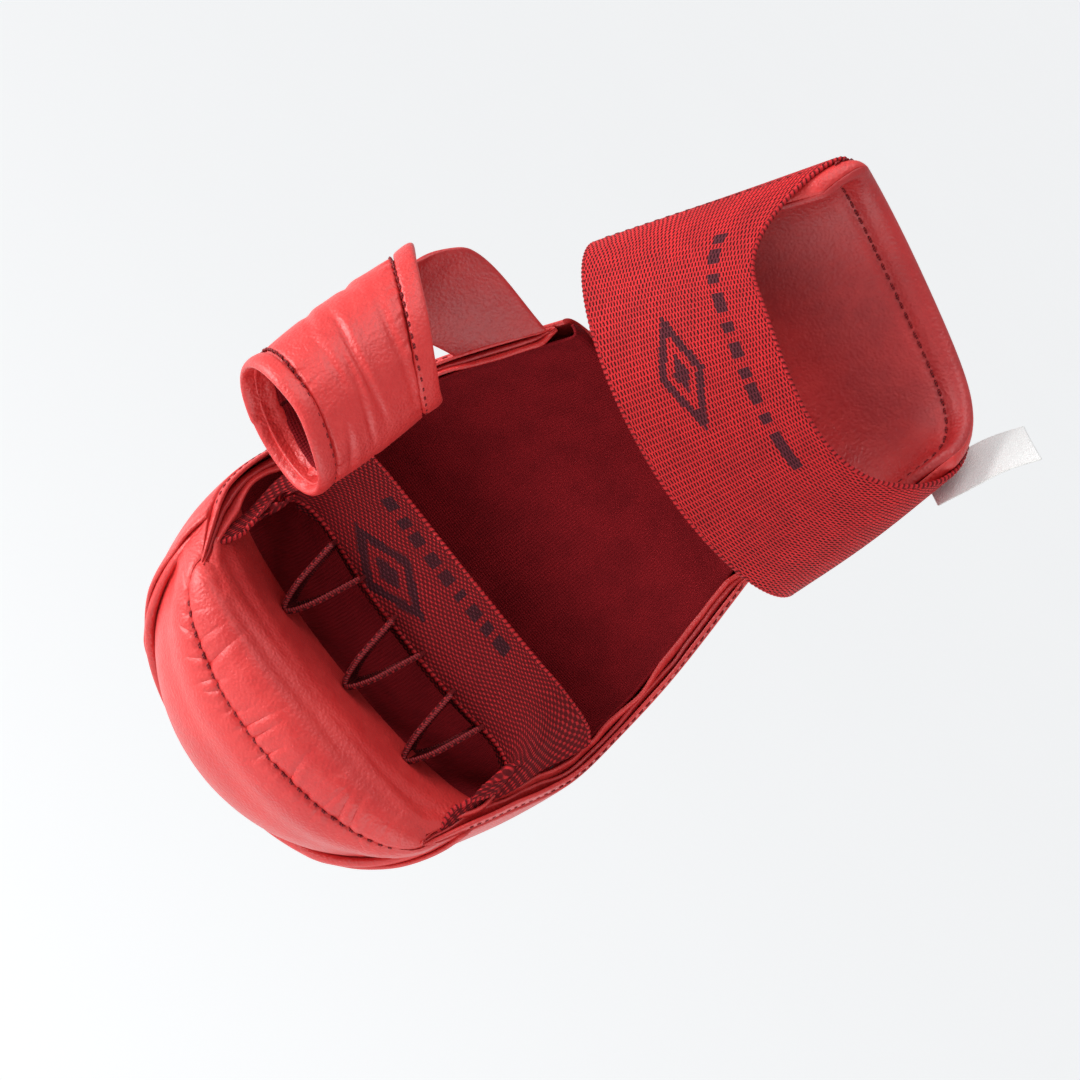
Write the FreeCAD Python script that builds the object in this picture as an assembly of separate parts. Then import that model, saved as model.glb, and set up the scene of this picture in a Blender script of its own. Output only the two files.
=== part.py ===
"""Karate mitt for the right hand, with its thumb guard, as it hangs on a hand.

Millimetres. +Z runs up the forearm and the fingers point down. The palm faces -Y and the back of the
hand faces +Y, so the thumb is on the -X side. The origin is the middle of the wrist opening.
"""
import FreeCAD, Part
import math
import os

V = FreeCAD.Vector

# ---- knuckle pad: its inner wall follows the hand and turns round the knuckles ----
PAD_WRIST_Z = -24.0       # wrist end of the pad
BACK_WALL_Y = 16.0        # inner wall over the back of the hand
FINGER_WALL_Z = -105.5    # inner wall over the bent fingers
KNUCKLE_RADIUS = 22.0     # inner wall round the knuckles
PAD_FRONT_Y = -46.0       # front end of the inner wall
PANEL_SEAM = 100.0        # where back and knuckle covers meet on the middle line, along the wall
SEAM_SWEEP = 25.0         # and how much further along they meet at the rims
SWEEP_POWER = 1.3         # how late the seam turns forward
ROUNDING = 22.0           # length of the rounded front of the dome
FRONT_THICKNESS = 14.5    # pad at the front seam
FRONT_LEAN = 5.0          # the front seam stands out past the inner wall
NOSE_TURN = 78.0          # how far the dome has turned in, in degrees, where it meets the seam
PANEL_BULGE = 2.5         # crown of the front panel
PANEL_EDGE = 78.0         # the front panel stops short of the rim, in degrees round the section
FOAM_EDGE = 84.0          # so does the foam
SEAM_THREAD_EDGE = 80.0   # and the row of stitches
SEAM_EDGE = 1.6           # how far the turned edge stands off the cover
SEAM_EDGE_WIDTH = 3.2

BACK_LENGTH = PAD_WRIST_Z - FINGER_WALL_Z - KNUCKLE_RADIUS
BEND_LENGTH = KNUCKLE_RADIUS * math.pi / 2
FINGER_LENGTH = BACK_WALL_Y - KNUCKLE_RADIUS - PAD_FRONT_Y
PAD_LENGTH = BACK_LENGTH + BEND_LENGTH + FINGER_LENGTH

# stations along the inner wall: (distance from the wrist end, value)
HALF_WIDTH = ((0, 33), (30, 42), (60, 46), (80, 47), (115, 44.5), (PAD_LENGTH, 38))
MIDDLE_X = ((0, -2), (30, -4), (80, -5), (115, -7.5), (PAD_LENGTH, -5))
RIM_Y = ((0, 4), (30, 2), (60, -2), (80, -9.5), (97, -17.5), (115, -29), (PAD_LENGTH, -43))
RIM_Z = ((0, -24), (30, -52), (60, -73), (80, -83.5), (97, -90), (115, -97.5), (PAD_LENGTH, -106.5))
THICKNESS = ((0, 7), (30, 14), (60, 22), (80, 29), (97, 35), (112, 36.5))

# ---- plies of the pad: depth past the inner wall, and how far each stands in from the rim ----
LINING = 0.8
LEATHER = 1.2
PLY_GAP = 0.3
RIM_STACK = 3.4           # all the plies side by side at the rim
HEM_WIDTH = 4.2
HEM_THICKNESS = 2.2
HEM_START = 6.0           # where the side hems begin, along the rim
HEM_OUT = 0.5             # how far they stand out past the rim

# ---- finger elastic and its dividers ----
ELASTIC = 1.2
BAND_TOP_Z = -70.5
BAND_BOTTOM_Z = -88.5
PALM_Y = -18.0
LOOP_SHARES = (-0.1, 0.52)  # the loop elastic's edges, as shares of the band's width
LOOP_BEHIND = 2.3
LOOP_THICKNESS = 0.9
DIVIDER_X = (-24.0, -3.5, 16.5)
DIVIDER_DEPTH = 11.0      # ribbon width, along Y
DIVIDER_SPREAD = 4.5
DIVIDER_FRONT_Y = -33.0
DIVIDER_FOLD_GAP = 3.2    # from the wall to the fold
DIVIDER_FOLD = (2.2, 4.5)  # half width of the folded end, and how high it widens
DIVIDER_BELOW_BAND = 2.0

# ---- wrist elastic: half sizes at its hand edge and its arm edge ----
WRIST_HALF_WIDTH = (43.0, 34.5)
WRIST_PALM_DEPTH = (26.0, 21.0)
WRIST_BACK_DEPTH = (19.0, 20.5)
WRIST_MIDDLE_X = (-2.0, 7.5)
WRIST_MIDDLE_Y = (2.0, 0.0)
WRIST_EDGE_Z = (-11.7, 37.5)
WRIST_SLOPE = (-0.152, -0.246)
WRIST_PALM_DIP = (11.3, 28.0)
WRIST_SEAM_ANGLE = 10.0   # where the loop is sewn shut, on the little finger's side
WRIST_THREAD_ANGLES = (2.0, 178.0)
WRIST_THREAD_SHARES = (0.06, 0.94)

# ---- tongue of the wrist, inside the elastic at the back ----
TONGUE_LEATHER = 1.0
TONGUE_FOAM = 2.0
TONGUE_GAP = 0.3
TONGUE_ANGLES = (-4.0, 186.0)
TONGUE_HAND_EDGE = (-0.145, -0.045)  # at its middle and at its sides, as shares of the elastic
TONGUE_ARM_EDGE = 1.07

# ---- thumb guard ----
THUMB_BASE = V(-52.5, -28.5, -40.5)
THUMB_TIP = V(-53.0, -51.5, -74.5)
THUMB_HALF = (15.5, 14.0)
THUMB_LEATHER = 1.2
THUMB_FOAM = 1.6
THUMB_LINING = 0.8
BASE_SLANT = (8.5, 5.0)   # how far the base edge runs down towards the palm and the front
TIP_SLANT = (2.5, 0.0)
THUMB_SEAM_ANGLE = 250.0  # where the tube is sewn shut, out of sight behind
THUMB_PLY_GAP = 0.2
THUMB_SHARES = (0.05, 0.95)  # the plies end inside the rolled hems
FOAM_SHARES = (0.06, 0.94)
HEM_ROLL = 1.7
HEM_INSET = 2.0
HEM_THREAD_SHARES = (0.12, 0.88)
STRAP_LENGTH = 19.0
STRAP_MIDDLE_Z = -37.0
STRAP_CLEARANCE = 1.4
STRAP_ROOT_Y = 1.0
STRAP_ANGLE = 216.0       # where round the tube it is sewn on
STRAP_SHARES = (0.08, 0.5)  # its two edges, along the tube
STRAP_OFF_TUBE = 1.9
STRAP_BOW = 3.5           # how far it bows out on its way

# ---- label ----
LABEL_LENGTH = 24.0
LABEL_WIDTH = 14.0
LABEL_THICKNESS = 0.5
LABEL_ROOT = V(41.6, 7.6, 15.0)
LABEL_ACROSS = V(-0.53, 0.848, 0)
LABEL_LEAN = 14.0

STITCH = 1.9
STITCH_PITCH = 2.3
THREAD = 0.6


# ---- small helpers ----

def lerp(pair, share):
    return pair[0] + (pair[1] - pair[0]) * share


def ease(share):
    """0 below 0, 1 above 1, and smooth between."""
    share = min(max(share, 0.0), 1.0)
    return share * share * (3 - 2 * share)


def steps(low, high, count):
    """count evenly spaced numbers from low to high."""
    return [low + (high - low) * i / (count - 1) for i in range(count)]


def smooth(stations, at):
    """A smooth curve through hand-set stations, read at one distance."""
    last = len(stations) - 1
    i = 0
    while i < last - 1 and at > stations[i + 1][0]:
        i += 1
    x0, y0 = stations[i]
    x1, y1 = stations[i + 1]

    def slope(k):
        low = stations[max(k - 1, 0)]
        high = stations[min(k + 1, last)]
        return (high[1] - low[1]) / (high[0] - low[0])

    span = x1 - x0
    u = min(max((at - x0) / span, 0.0), 1.0)
    a = 2 * u ** 3 - 3 * u ** 2 + 1
    b = u ** 3 - 2 * u ** 2 + u
    c = -2 * u ** 3 + 3 * u ** 2
    d = u ** 3 - u ** 2
    return a * y0 + b * span * slope(i) + c * y1 + d * span * slope(i + 1)


def curve_through(points, count):
    """count points along a smooth curve through a few hand-set points."""
    curve = Part.BSplineCurve()
    curve.interpolate(points)
    return [curve.value(u) for u in steps(curve.FirstParameter, curve.LastParameter, count)]


def skin(grid):
    surface = Part.BSplineSurface()
    surface.interpolate(grid)
    return surface


def slab(near, far):
    """One closed solid between two grids of points, with ruled edges."""
    surfaces = [skin(near), skin(far)]
    faces = [surface.toShape() for surface in surfaces]
    for pick in (lambda s: s.uIso(s.bounds()[0]), lambda s: s.uIso(s.bounds()[1]),
                 lambda s: s.vIso(s.bounds()[2]), lambda s: s.vIso(s.bounds()[3])):
        edges = [pick(surface).toShape() for surface in surfaces]
        faces.append(Part.makeRuledSurface(edges[0], edges[1]))
    shell = Part.makeShell(faces)
    shell.sewShape()
    solid = Part.makeSolid(shell)
    if solid.Volume < 0:
        solid.reverse()
    return solid


def thicken(grid, thickness):
    """A second grid, one thickness off the first, along its own normal."""
    rows = len(grid)
    columns = len(grid[0])
    moved = []
    for i in range(rows):
        row = []
        for j in range(columns):
            along = grid[min(i + 1, rows - 1)][j] - grid[max(i - 1, 0)][j]
            across = grid[i][min(j + 1, columns - 1)] - grid[i][max(j - 1, 0)]
            normal = along.cross(across).normalize()
            row.append(grid[i][j] + normal * thickness)
        moved.append(row)
    return moved


def sheet(grid, thickness):
    return slab(grid, thicken(grid, thickness))


def stitch_row(path, outward):
    """Short round stitches end to end along a path, lying just off the surface."""
    stitches = []
    travelled = 0.0
    due = STITCH_PITCH / 2
    for start, end in zip(path, path[1:]):
        run = (end - start).Length
        direction = (end - start).normalize()
        while due < travelled + run:
            middle = start + direction * (due - travelled)
            base = middle - direction * (STITCH / 2) + outward(middle) * THREAD
            stitches.append(Part.makeCylinder(THREAD / 2, STITCH, base, direction))
            due += STITCH_PITCH
        travelled += run
    return Part.makeCompound(stitches)


# ---- knuckle pad ----

def pad_frame(along):
    """Middle line of the inner wall: a point, the way on, and the way out of the hand."""
    if along < BACK_LENGTH:
        return V(0, BACK_WALL_Y, PAD_WRIST_Z - along), V(0, 0, -1), V(0, 1, 0)
    turn = min((along - BACK_LENGTH) / KNUCKLE_RADIUS, math.pi / 2)
    outward = V(0, math.cos(turn), -math.sin(turn))
    onward = V(0, -math.sin(turn), -math.cos(turn))
    centre = V(0, BACK_WALL_Y - KNUCKLE_RADIUS, FINGER_WALL_Z + KNUCKLE_RADIUS)
    point = centre + outward * KNUCKLE_RADIUS
    past = max(along - BACK_LENGTH - BEND_LENGTH, 0.0)
    return point + onward * past, onward, outward


def rim_point(along):
    return V(0, smooth(RIM_Y, along), smooth(RIM_Z, along))


def nose(along):
    """How thick the pad is, and how far its crown stands forward of the wall's own frame."""
    start = PAD_LENGTH - ROUNDING
    full = smooth(THICKNESS, min(along, start))
    share = max((along - start) / ROUNDING, 0.0)
    turn = math.radians(NOSE_TURN) * share
    last = math.radians(NOSE_TURN)
    drop = (1 - math.cos(turn)) / (1 - math.cos(last))
    reach = (ROUNDING + FRONT_LEAN) * math.sin(turn) / math.sin(last)
    return full + (FRONT_THICKNESS - full) * drop, reach - ROUNDING * share


def pad_thickness(along):
    return nose(along)[0]


def pad_point(angle, along, depth, inset, forward=0.0):
    """A point of one ply. angle is 0 on the middle line and 90 degrees at either rim."""
    middle, onward, outward = pad_frame(along)
    rim = rim_point(along)
    crown = middle + outward * depth + onward * forward
    share = math.cos(angle)
    half = smooth(HALF_WIDTH, along) - inset
    return V(smooth(MIDDLE_X, along) + half * math.sin(angle), 0, 0) + rim + (crown - rim) * share


def forward_at(along, depth):
    thickness, lean = nose(along)
    return lean * depth / thickness


def ply(first, last, depth, inset, columns=17, rows=41, widest=90.0, sweep=lambda along: 0.0):
    """One ply's grid. depth and sweep are functions of the distance along the wall."""
    angles = [math.radians(a) for a in steps(-widest, widest, columns)]
    grid = []
    for along in steps(first, last, rows):
        row = []
        for a in angles:
            here = along + sweep(along) * SEAM_SWEEP * abs(math.sin(a)) ** SWEEP_POWER
            d = depth(here)
            row.append(pad_point(a, here, d, inset, forward_at(here, d)))
        grid.append(row)
    return grid


def hand_lining():
    near = ply(0, PAD_LENGTH, lambda s: 0.0, RIM_STACK)
    far = ply(0, PAD_LENGTH, lambda s: LINING, RIM_STACK - LINING)
    return slab(near, far)


def foam_core():
    first = 2.0
    last = PAD_LENGTH - LEATHER - 2 * PLY_GAP
    low = LINING + PLY_GAP
    high = LEATHER + PLY_GAP
    near = ply(first, last, lambda s: low, RIM_STACK - low, widest=FOAM_EDGE)
    far = ply(first, last, lambda s: pad_thickness(s) - high, high, widest=FOAM_EDGE)
    return slab(near, far)


def cover(first, last, sweep):
    near = ply(first, last, lambda s: pad_thickness(s) - LEATHER, LEATHER, sweep=sweep)
    far = ply(first, last, pad_thickness, 0.0, sweep=sweep)
    return slab(near, far)


def back_cover():
    end = PANEL_SEAM - PLY_GAP
    return cover(0, end, lambda along: along / end)


def knuckle_cover():
    length = PAD_LENGTH - PANEL_SEAM
    return cover(PANEL_SEAM, PAD_LENGTH, lambda along: (PAD_LENGTH - along) / length)


def cover_seam_edge():
    """The turned edge of the back cover, which laps over the knuckle cover."""
    first = PANEL_SEAM - SEAM_EDGE_WIDTH
    near = ply(first, PANEL_SEAM, lambda s: pad_thickness(s) + PLY_GAP, -PLY_GAP, 17, 4,
               FOAM_EDGE, lambda along: 1.0)
    far = ply(first, PANEL_SEAM, lambda s: pad_thickness(s) + SEAM_EDGE, -SEAM_EDGE, 17, 4,
              FOAM_EDGE, lambda along: 1.0)
    return slab(near, far)


def front_panel():
    """The end face between the lining and the front seam, crowned a little."""
    widest = math.radians(PANEL_EDGE)
    grids = []
    for back in (LEATHER, 0.0):
        grid = []
        for share in steps(0, 1, 7):
            low = LINING + PLY_GAP
            high = FRONT_THICKNESS - LEATHER - PLY_GAP
            depth = low + (high - low) * share
            crown = PANEL_BULGE * 4 * share * (1 - share)
            forward = FRONT_LEAN * depth / FRONT_THICKNESS + crown - back
            row = []
            for angle in steps(-widest, widest, 17):
                row.append(pad_point(angle, PAD_LENGTH, depth, LEATHER + PLY_GAP, forward))
            grid.append(row)
        grids.append(grid)
    return slab(grids[0], grids[1])


def rim_side(along):
    """The way from the rim towards the palm."""
    step = 1.0
    run = rim_point(min(along + step, PAD_LENGTH)) - rim_point(max(along - step, 0))
    return V(0, run.z, -run.y).normalize()


def side_hem(side):
    """The turned leather edge along one rim, from the back of the hand to the front seam."""
    grids = []
    for inset in (HEM_WIDTH - HEM_OUT, -HEM_OUT):
        grid = []
        for along in steps(HEM_START, PAD_LENGTH, 25):
            x = smooth(MIDDLE_X, along) + side * (smooth(HALF_WIDTH, along) - inset)
            base = V(x, 0, 0) + rim_point(along)
            towards = rim_side(along)
            grid.append([base + towards * (PLY_GAP + HEM_THICKNESS * k / 3) for k in range(4)])
        grids.append(grid)
    return slab(grids[0], grids[1])


def front_seam_thread():
    angles = [math.radians(a) for a in steps(-SEAM_THREAD_EDGE, SEAM_THREAD_EDGE, 60)]
    path = []
    for angle in angles:
        path.append(pad_point(angle, PAD_LENGTH, FRONT_THICKNESS, 0.0, FRONT_LEAN))
    return stitch_row(path, lambda p: V(0, -1, -0.6).normalize())


# ---- finger elastic ----

def band_edges():
    """Lower and upper edge of the finger elastic, from the thumb's side to the little finger's."""
    end = PAD_LENGTH - 3.0
    stack = RIM_STACK + ELASTIC + 2 * PLY_GAP

    def at_rim(side, along, off):
        x = smooth(MIDDLE_X, along) + side * (smooth(HALF_WIDTH, along) - stack)
        return V(x, 0, 0) + rim_point(along) + rim_side(along) * off

    hem = HEM_THICKNESS + 2 * PLY_GAP
    low_y = PALM_Y - 3
    low_z = BAND_BOTTOM_Z
    lower = [at_rim(-1, end, hem), V(-42, -35, -98), V(-43, -28, -92.5), V(-40, -22.5, low_z + 0.5),
             V(-33, low_y, low_z + 1.5), V(-18, low_y, low_z), V(0, low_y, low_z - 0.5),
             V(16, low_y, low_z), V(26, low_y, low_z + 1), V(31.5, -23.5, low_z),
             V(33, -29, -93), V(31, -36, -98.5), at_rim(1, end, hem)]
    back = 66.0
    high_y = PALM_Y + 1
    high_z = BAND_TOP_Z
    upper = [at_rim(-1, back, hem), V(-45, -9.5, -73), V(-43, -12.5, high_z - 1),
             V(-39, -15, high_z - 0.5), V(-33, high_y + 0.5, high_z), V(-18, high_y, high_z),
             V(2, high_y, high_z), V(16, high_y + 1, high_z), V(26, high_y + 3, high_z),
             V(31.5, -12, high_z - 0.5), V(34.5, -9.5, high_z - 1.5), V(36.5, -7.5, -73),
             at_rim(1, back, hem)]
    return lower, upper


def finger_elastic():
    lower, upper = band_edges()
    count = 41
    low = curve_through(lower, count)
    high = curve_through(upper, count)
    grid = [[a + (b - a) * share for a, b in zip(low, high)] for share in steps(0, 1, 5)]
    return sheet(grid, -ELASTIC)


def finger_loop_elastic():
    """The narrower elastic behind the band, across the palm only. The finger ribbons hang from it."""
    lower, upper = band_edges()
    count = 31
    low = curve_through(lower[3:-3], count)
    high = curve_through(upper[3:-3], count)
    grid = []
    for share in steps(LOOP_SHARES[0], LOOP_SHARES[1], 4):
        grid.append([a + (b - a) * share + V(0, LOOP_BEHIND, 0) for a, b in zip(low, high)])
    return sheet(grid, -LOOP_THICKNESS)


def divider(x):
    """A folded ribbon between two fingers: sewn to the wall, with both ends up at the band."""
    fold_z = FINGER_WALL_Z + DIVIDER_FOLD_GAP
    top_z = BAND_BOTTOM_Z - DIVIDER_BELOW_BAND
    half, rise = DIVIDER_FOLD
    profile = [V(x - DIVIDER_SPREAD, 0, top_z), V(x - half, 0, fold_z + rise), V(x, 0, fold_z),
               V(x + half, 0, fold_z + rise), V(x + DIVIDER_SPREAD, 0, top_z)]
    line = curve_through(profile, 17)
    grid = []
    for y in steps(DIVIDER_FRONT_Y, DIVIDER_FRONT_Y + DIVIDER_DEPTH, 4):
        grid.append([V(p.x, y, p.z) for p in line])
    return sheet(grid, ELASTIC * 0.9)


# ---- wrist ----

def wrist_point(angle, share, inset):
    """A point of the wrist elastic. angle 0 is the little finger's side, 90 degrees the back."""
    turn = math.radians(angle)
    palm = math.sin(turn) < 0
    depth = lerp(WRIST_PALM_DEPTH if palm else WRIST_BACK_DEPTH, share) - inset
    half = lerp(WRIST_HALF_WIDTH, share) - inset
    x = half * math.cos(turn)
    y = lerp(WRIST_MIDDLE_Y, share) + depth * math.sin(turn)
    hand_dip = ((1 - math.sin(turn)) / 2) ** 2
    thumb_dip = ease((0.35 - math.sin(turn)) / 1.1)
    arm_dip = lerp((hand_dip, thumb_dip), (1 - math.cos(turn)) / 2)
    dips = (hand_dip * WRIST_PALM_DIP[0], arm_dip * WRIST_PALM_DIP[1])
    edges = [WRIST_EDGE_Z[k] + WRIST_SLOPE[k] * x - dips[k] for k in (0, 1)]
    return V(lerp(WRIST_MIDDLE_X, share) + x, y, lerp(edges, share))


def wrist_grid(angles, shares, inset):
    return [[wrist_point(a, s, inset) for a in angles] for s in shares]


def wrist_elastic():
    gap = 0.5
    angles = steps(WRIST_SEAM_ANGLE + gap - 360, WRIST_SEAM_ANGLE - gap, 61)
    shares = steps(0, 1, 7)
    return slab(wrist_grid(angles, shares, ELASTIC), wrist_grid(angles, shares, 0.0))


def tongue_grid(inset):
    """The tongue reaches past both edges of the elastic, and its hand edge is rounded."""
    angles = steps(TONGUE_ANGLES[0], TONGUE_ANGLES[1], 31)
    grid = []
    for k in steps(0, 1, 9):
        row = []
        for a in angles:
            side = abs(math.cos(math.radians(a)))
            low = lerp(TONGUE_HAND_EDGE, side ** 2)
            row.append(wrist_point(a, lerp((low, TONGUE_ARM_EDGE), k), inset))
        grid.append(row)
    return grid


def tongue_ply(start, thickness):
    return slab(tongue_grid(start + thickness), tongue_grid(start))


def wrist_threads():
    """Two rows that sew the elastic to the tongue at its sides."""
    rows = []
    for angle in WRIST_THREAD_ANGLES:
        path = [wrist_point(angle, s, 0.0) for s in steps(*WRIST_THREAD_SHARES, 12)]
        side = 1 if angle < 90 else -1
        rows.append(stitch_row(path, lambda p, s=side: V(s, 0, 0)))
    return Part.makeCompound(rows)


# ---- label ----

def label():
    lean_angle = math.radians(LABEL_LEAN)
    away = LABEL_ACROSS.cross(V(0, 0, 1)).normalize()
    half = LABEL_WIDTH / 2
    grid = []
    for k in steps(0, 1, 6):
        up = LABEL_LENGTH * k
        out = up * math.sin(lean_angle) * (0.6 + 0.4 * k)
        centre = LABEL_ROOT + away * out + V(0, 0, up * math.cos(lean_angle))
        grid.append([centre + LABEL_ACROSS * across for across in steps(-half, half, 4)])
    return sheet(grid, LABEL_THICKNESS)


# ---- thumb guard ----

def thumb_axes():
    axis = (THUMB_TIP - THUMB_BASE).normalize()
    across = V(1, 0, 0)
    front = axis.cross(across).normalize()
    return axis, across, front


def thumb_point(angle, share, inset):
    """A point of the thumb tube. share is 0 at the base edge and 1 at the tip edge."""
    axis, across, front = thumb_axes()
    turn = math.radians(angle)
    base = BASE_SLANT[0] * math.cos(turn) + BASE_SLANT[1] * math.sin(turn)
    tip = TIP_SLANT[0] * math.cos(turn) + TIP_SLANT[1] * math.sin(turn)
    length = (THUMB_TIP - THUMB_BASE).Length
    down = length * share + lerp((base, tip), share)
    radial = across * ((THUMB_HALF[0] - inset) * math.cos(turn))
    radial += front * ((THUMB_HALF[1] - inset) * math.sin(turn))
    return THUMB_BASE + axis * down + radial


def thumb_ply(outer_inset, thickness, ends):
    """One ply of the tube: a strip rolled round the thumb, with its ends edge to edge."""
    gap = 0.8
    angles = steps(THUMB_SEAM_ANGLE + gap - 360, THUMB_SEAM_ANGLE - gap, 41)
    grids = []
    for inset in (outer_inset + thickness, outer_inset):
        grids.append([[thumb_point(a, s, inset) for a in angles] for s in steps(*ends, 7)])
    return slab(grids[0], grids[1])


def thumb_hem(share, inset):
    """A rolled edge round one opening of the tube."""
    points = [thumb_point(a, share, inset) for a in range(0, 360, 15)]
    curve = Part.BSplineCurve()
    curve.interpolate(points, PeriodicFlag=True)
    path = Part.Wire([curve.toShape()])
    start = curve.value(0)
    profile = Part.Wire([Part.makeCircle(HEM_ROLL, start, curve.tangent(0)[0])])
    return path.makePipeShell([profile], True, False)


def thumb_thread(share):
    _, across, front = thumb_axes()
    middle = THUMB_BASE + (THUMB_TIP - THUMB_BASE) * share
    path = [thumb_point(a, share, 0.0) for a in range(0, 361, 6)]
    axis = (THUMB_TIP - THUMB_BASE).normalize()

    def outward(p):
        away = p - middle
        return (away - axis * away.dot(axis)).normalize()

    return stitch_row(path, outward)


def thumb_strap():
    """The leather strip from the back of the tube to the pad's thumb side."""
    grid = []
    for share in steps(0, 1, 5):
        z = STRAP_MIDDLE_Z + STRAP_LENGTH * (0.5 - share)
        along = PAD_WRIST_Z - z
        x = smooth(MIDDLE_X, along) - smooth(HALF_WIDTH, along) - STRAP_CLEARANCE
        start = V(x, STRAP_ROOT_Y, z)
        end = thumb_point(STRAP_ANGLE, lerp(STRAP_SHARES, share), -STRAP_OFF_TUBE)
        middle = (start + end) * 0.5 + V(-STRAP_BOW, 0, 0)
        grid.append(curve_through([start, middle, end], 9))
    return sheet(grid, LEATHER)


def write(name, shape):
    solids = shape.Solids
    shape.exportStep("parts/" + name + ".step")
    box = shape.BoundBox
    print("%-22s solids %3d valid %s volume %9.1f  x %6.1f %6.1f  y %6.1f %6.1f  z %6.1f %6.1f" % (
        name, len(solids), shape.isValid(), shape.Volume,
        box.XMin, box.XMax, box.YMin, box.YMax, box.ZMin, box.ZMax))


def main():
    os.makedirs("parts", exist_ok=True)
    write("hand_lining", hand_lining())
    write("foam_core", foam_core())
    write("back_cover", back_cover())
    write("knuckle_cover", knuckle_cover())
    write("cover_seam_edge", cover_seam_edge())
    write("front_panel", front_panel())
    write("thumb_side_hem", side_hem(-1))
    write("little_side_hem", side_hem(1))
    write("front_seam_thread", front_seam_thread())
    write("finger_elastic", finger_elastic())
    write("finger_loop_elastic", finger_loop_elastic())
    for number, x in enumerate(DIVIDER_X, 1):
        write("finger_divider_%d" % number, divider(x))
    write("wrist_elastic", wrist_elastic())
    start = ELASTIC + TONGUE_GAP
    write("tongue_cover", tongue_ply(start, TONGUE_LEATHER))
    start += TONGUE_LEATHER + TONGUE_GAP
    write("tongue_foam", tongue_ply(start, TONGUE_FOAM))
    start += TONGUE_FOAM + TONGUE_GAP
    write("tongue_lining", tongue_ply(start, TONGUE_LEATHER))
    write("wrist_thread", wrist_threads())
    write("label", label())
    inset = 0.0
    write("thumb_cover", thumb_ply(inset, THUMB_LEATHER, THUMB_SHARES))
    inset += THUMB_LEATHER + THUMB_PLY_GAP
    write("thumb_foam", thumb_ply(inset, THUMB_FOAM, FOAM_SHARES))
    inset += THUMB_FOAM + THUMB_PLY_GAP
    write("thumb_lining", thumb_ply(inset, THUMB_LINING, THUMB_SHARES))
    write("thumb_base_hem", thumb_hem(0.0, HEM_INSET))
    write("thumb_tip_hem", thumb_hem(1.0, HEM_INSET))
    write("thumb_base_thread", thumb_thread(HEM_THREAD_SHARES[0]))
    write("thumb_tip_thread", thumb_thread(HEM_THREAD_SHARES[1]))
    write("thumb_strap", thumb_strap())


main()
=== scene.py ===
"""Looks of the karate mitt: soft leather, woven elastic, stitching, studio light and camera.

Shapes are worked out in millimetres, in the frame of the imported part, and turned into metres once,
when a mesh is made. +Z runs up the forearm, the palm faces -Y and the thumb is on the -X side.
"""

import math

import bmesh
import bpy
import numpy as np
from mathutils import Matrix, Vector


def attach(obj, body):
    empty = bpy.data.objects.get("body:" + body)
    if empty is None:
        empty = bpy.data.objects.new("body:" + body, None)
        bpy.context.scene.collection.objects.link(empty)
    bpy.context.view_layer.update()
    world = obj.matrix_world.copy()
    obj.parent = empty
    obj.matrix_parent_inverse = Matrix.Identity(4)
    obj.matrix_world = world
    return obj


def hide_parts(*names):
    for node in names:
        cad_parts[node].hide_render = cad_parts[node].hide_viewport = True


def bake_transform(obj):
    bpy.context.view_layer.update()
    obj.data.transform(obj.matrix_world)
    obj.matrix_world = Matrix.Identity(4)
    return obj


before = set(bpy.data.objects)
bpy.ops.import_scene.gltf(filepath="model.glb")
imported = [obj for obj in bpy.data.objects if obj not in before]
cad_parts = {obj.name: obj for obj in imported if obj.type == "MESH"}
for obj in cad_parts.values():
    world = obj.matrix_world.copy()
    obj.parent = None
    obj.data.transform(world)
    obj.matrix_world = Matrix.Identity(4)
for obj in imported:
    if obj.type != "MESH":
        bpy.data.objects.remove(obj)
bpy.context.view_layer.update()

MM = 0.001

# ---- knuckle pad ----
PAD_WRIST_Z = -24.0       # wrist end of the pad
BACK_WALL_Y = 16.0        # inner wall over the back of the hand
FINGER_WALL_Z = -105.5    # inner wall over the bent fingers
KNUCKLE_RADIUS = 22.0
PAD_FRONT_Y = -46.0
PANEL_SEAM = 100.0        # where back and knuckle covers meet on the middle line, along the wall
SEAM_SWEEP = 25.0         # and how much further along they meet at the rims
SWEEP_POWER = 1.3
ROUNDING = 22.0
FRONT_THICKNESS = 14.5
FRONT_LEAN = 5.0
NOSE_TURN = 78.0
# section of the front panel from the seam inwards: (depth past the inner wall, forward of its end)
PANEL_PROFILE = ((14.5, 5.0), (11.2, 6.5), (7.8, 7.1), (5.2, 6.6), (2.8, 4.7), (0.8, 1.4),
                 (-0.7, -3.0), (-1.2, -9.0), (-1.3, -17.0), (-1.1, -22.0), (0.3, -24.0))
PANEL_EDGE = (88.0, 84.0)  # its half width in degrees round the section, at the seam and inside
BACK_LENGTH = PAD_WRIST_Z - FINGER_WALL_Z - KNUCKLE_RADIUS
BEND_LENGTH = KNUCKLE_RADIUS * math.pi / 2
FINGER_LENGTH = BACK_WALL_Y - KNUCKLE_RADIUS - PAD_FRONT_Y
PAD_LENGTH = BACK_LENGTH + BEND_LENGTH + FINGER_LENGTH

# stations along the inner wall: (distance from the wrist end, value)
HALF_WIDTH = ((0, 33), (30, 42), (60, 46), (80, 47), (115, 44.5), (PAD_LENGTH, 38))
MIDDLE_X = ((0, -2), (30, -4), (80, -5), (115, -7.5), (PAD_LENGTH, -5))
RIM_Y = ((0, 4), (30, 2), (60, -2), (80, -9.5), (97, -17.5), (115, -29), (PAD_LENGTH, -43))
RIM_Z = ((0, -24), (30, -52), (60, -73), (80, -83.5), (97, -90), (115, -97.5), (PAD_LENGTH, -106.5))
THICKNESS = ((0, 7), (30, 14), (60, 22), (80, 29), (97, 35), (112, 36.5))

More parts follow.
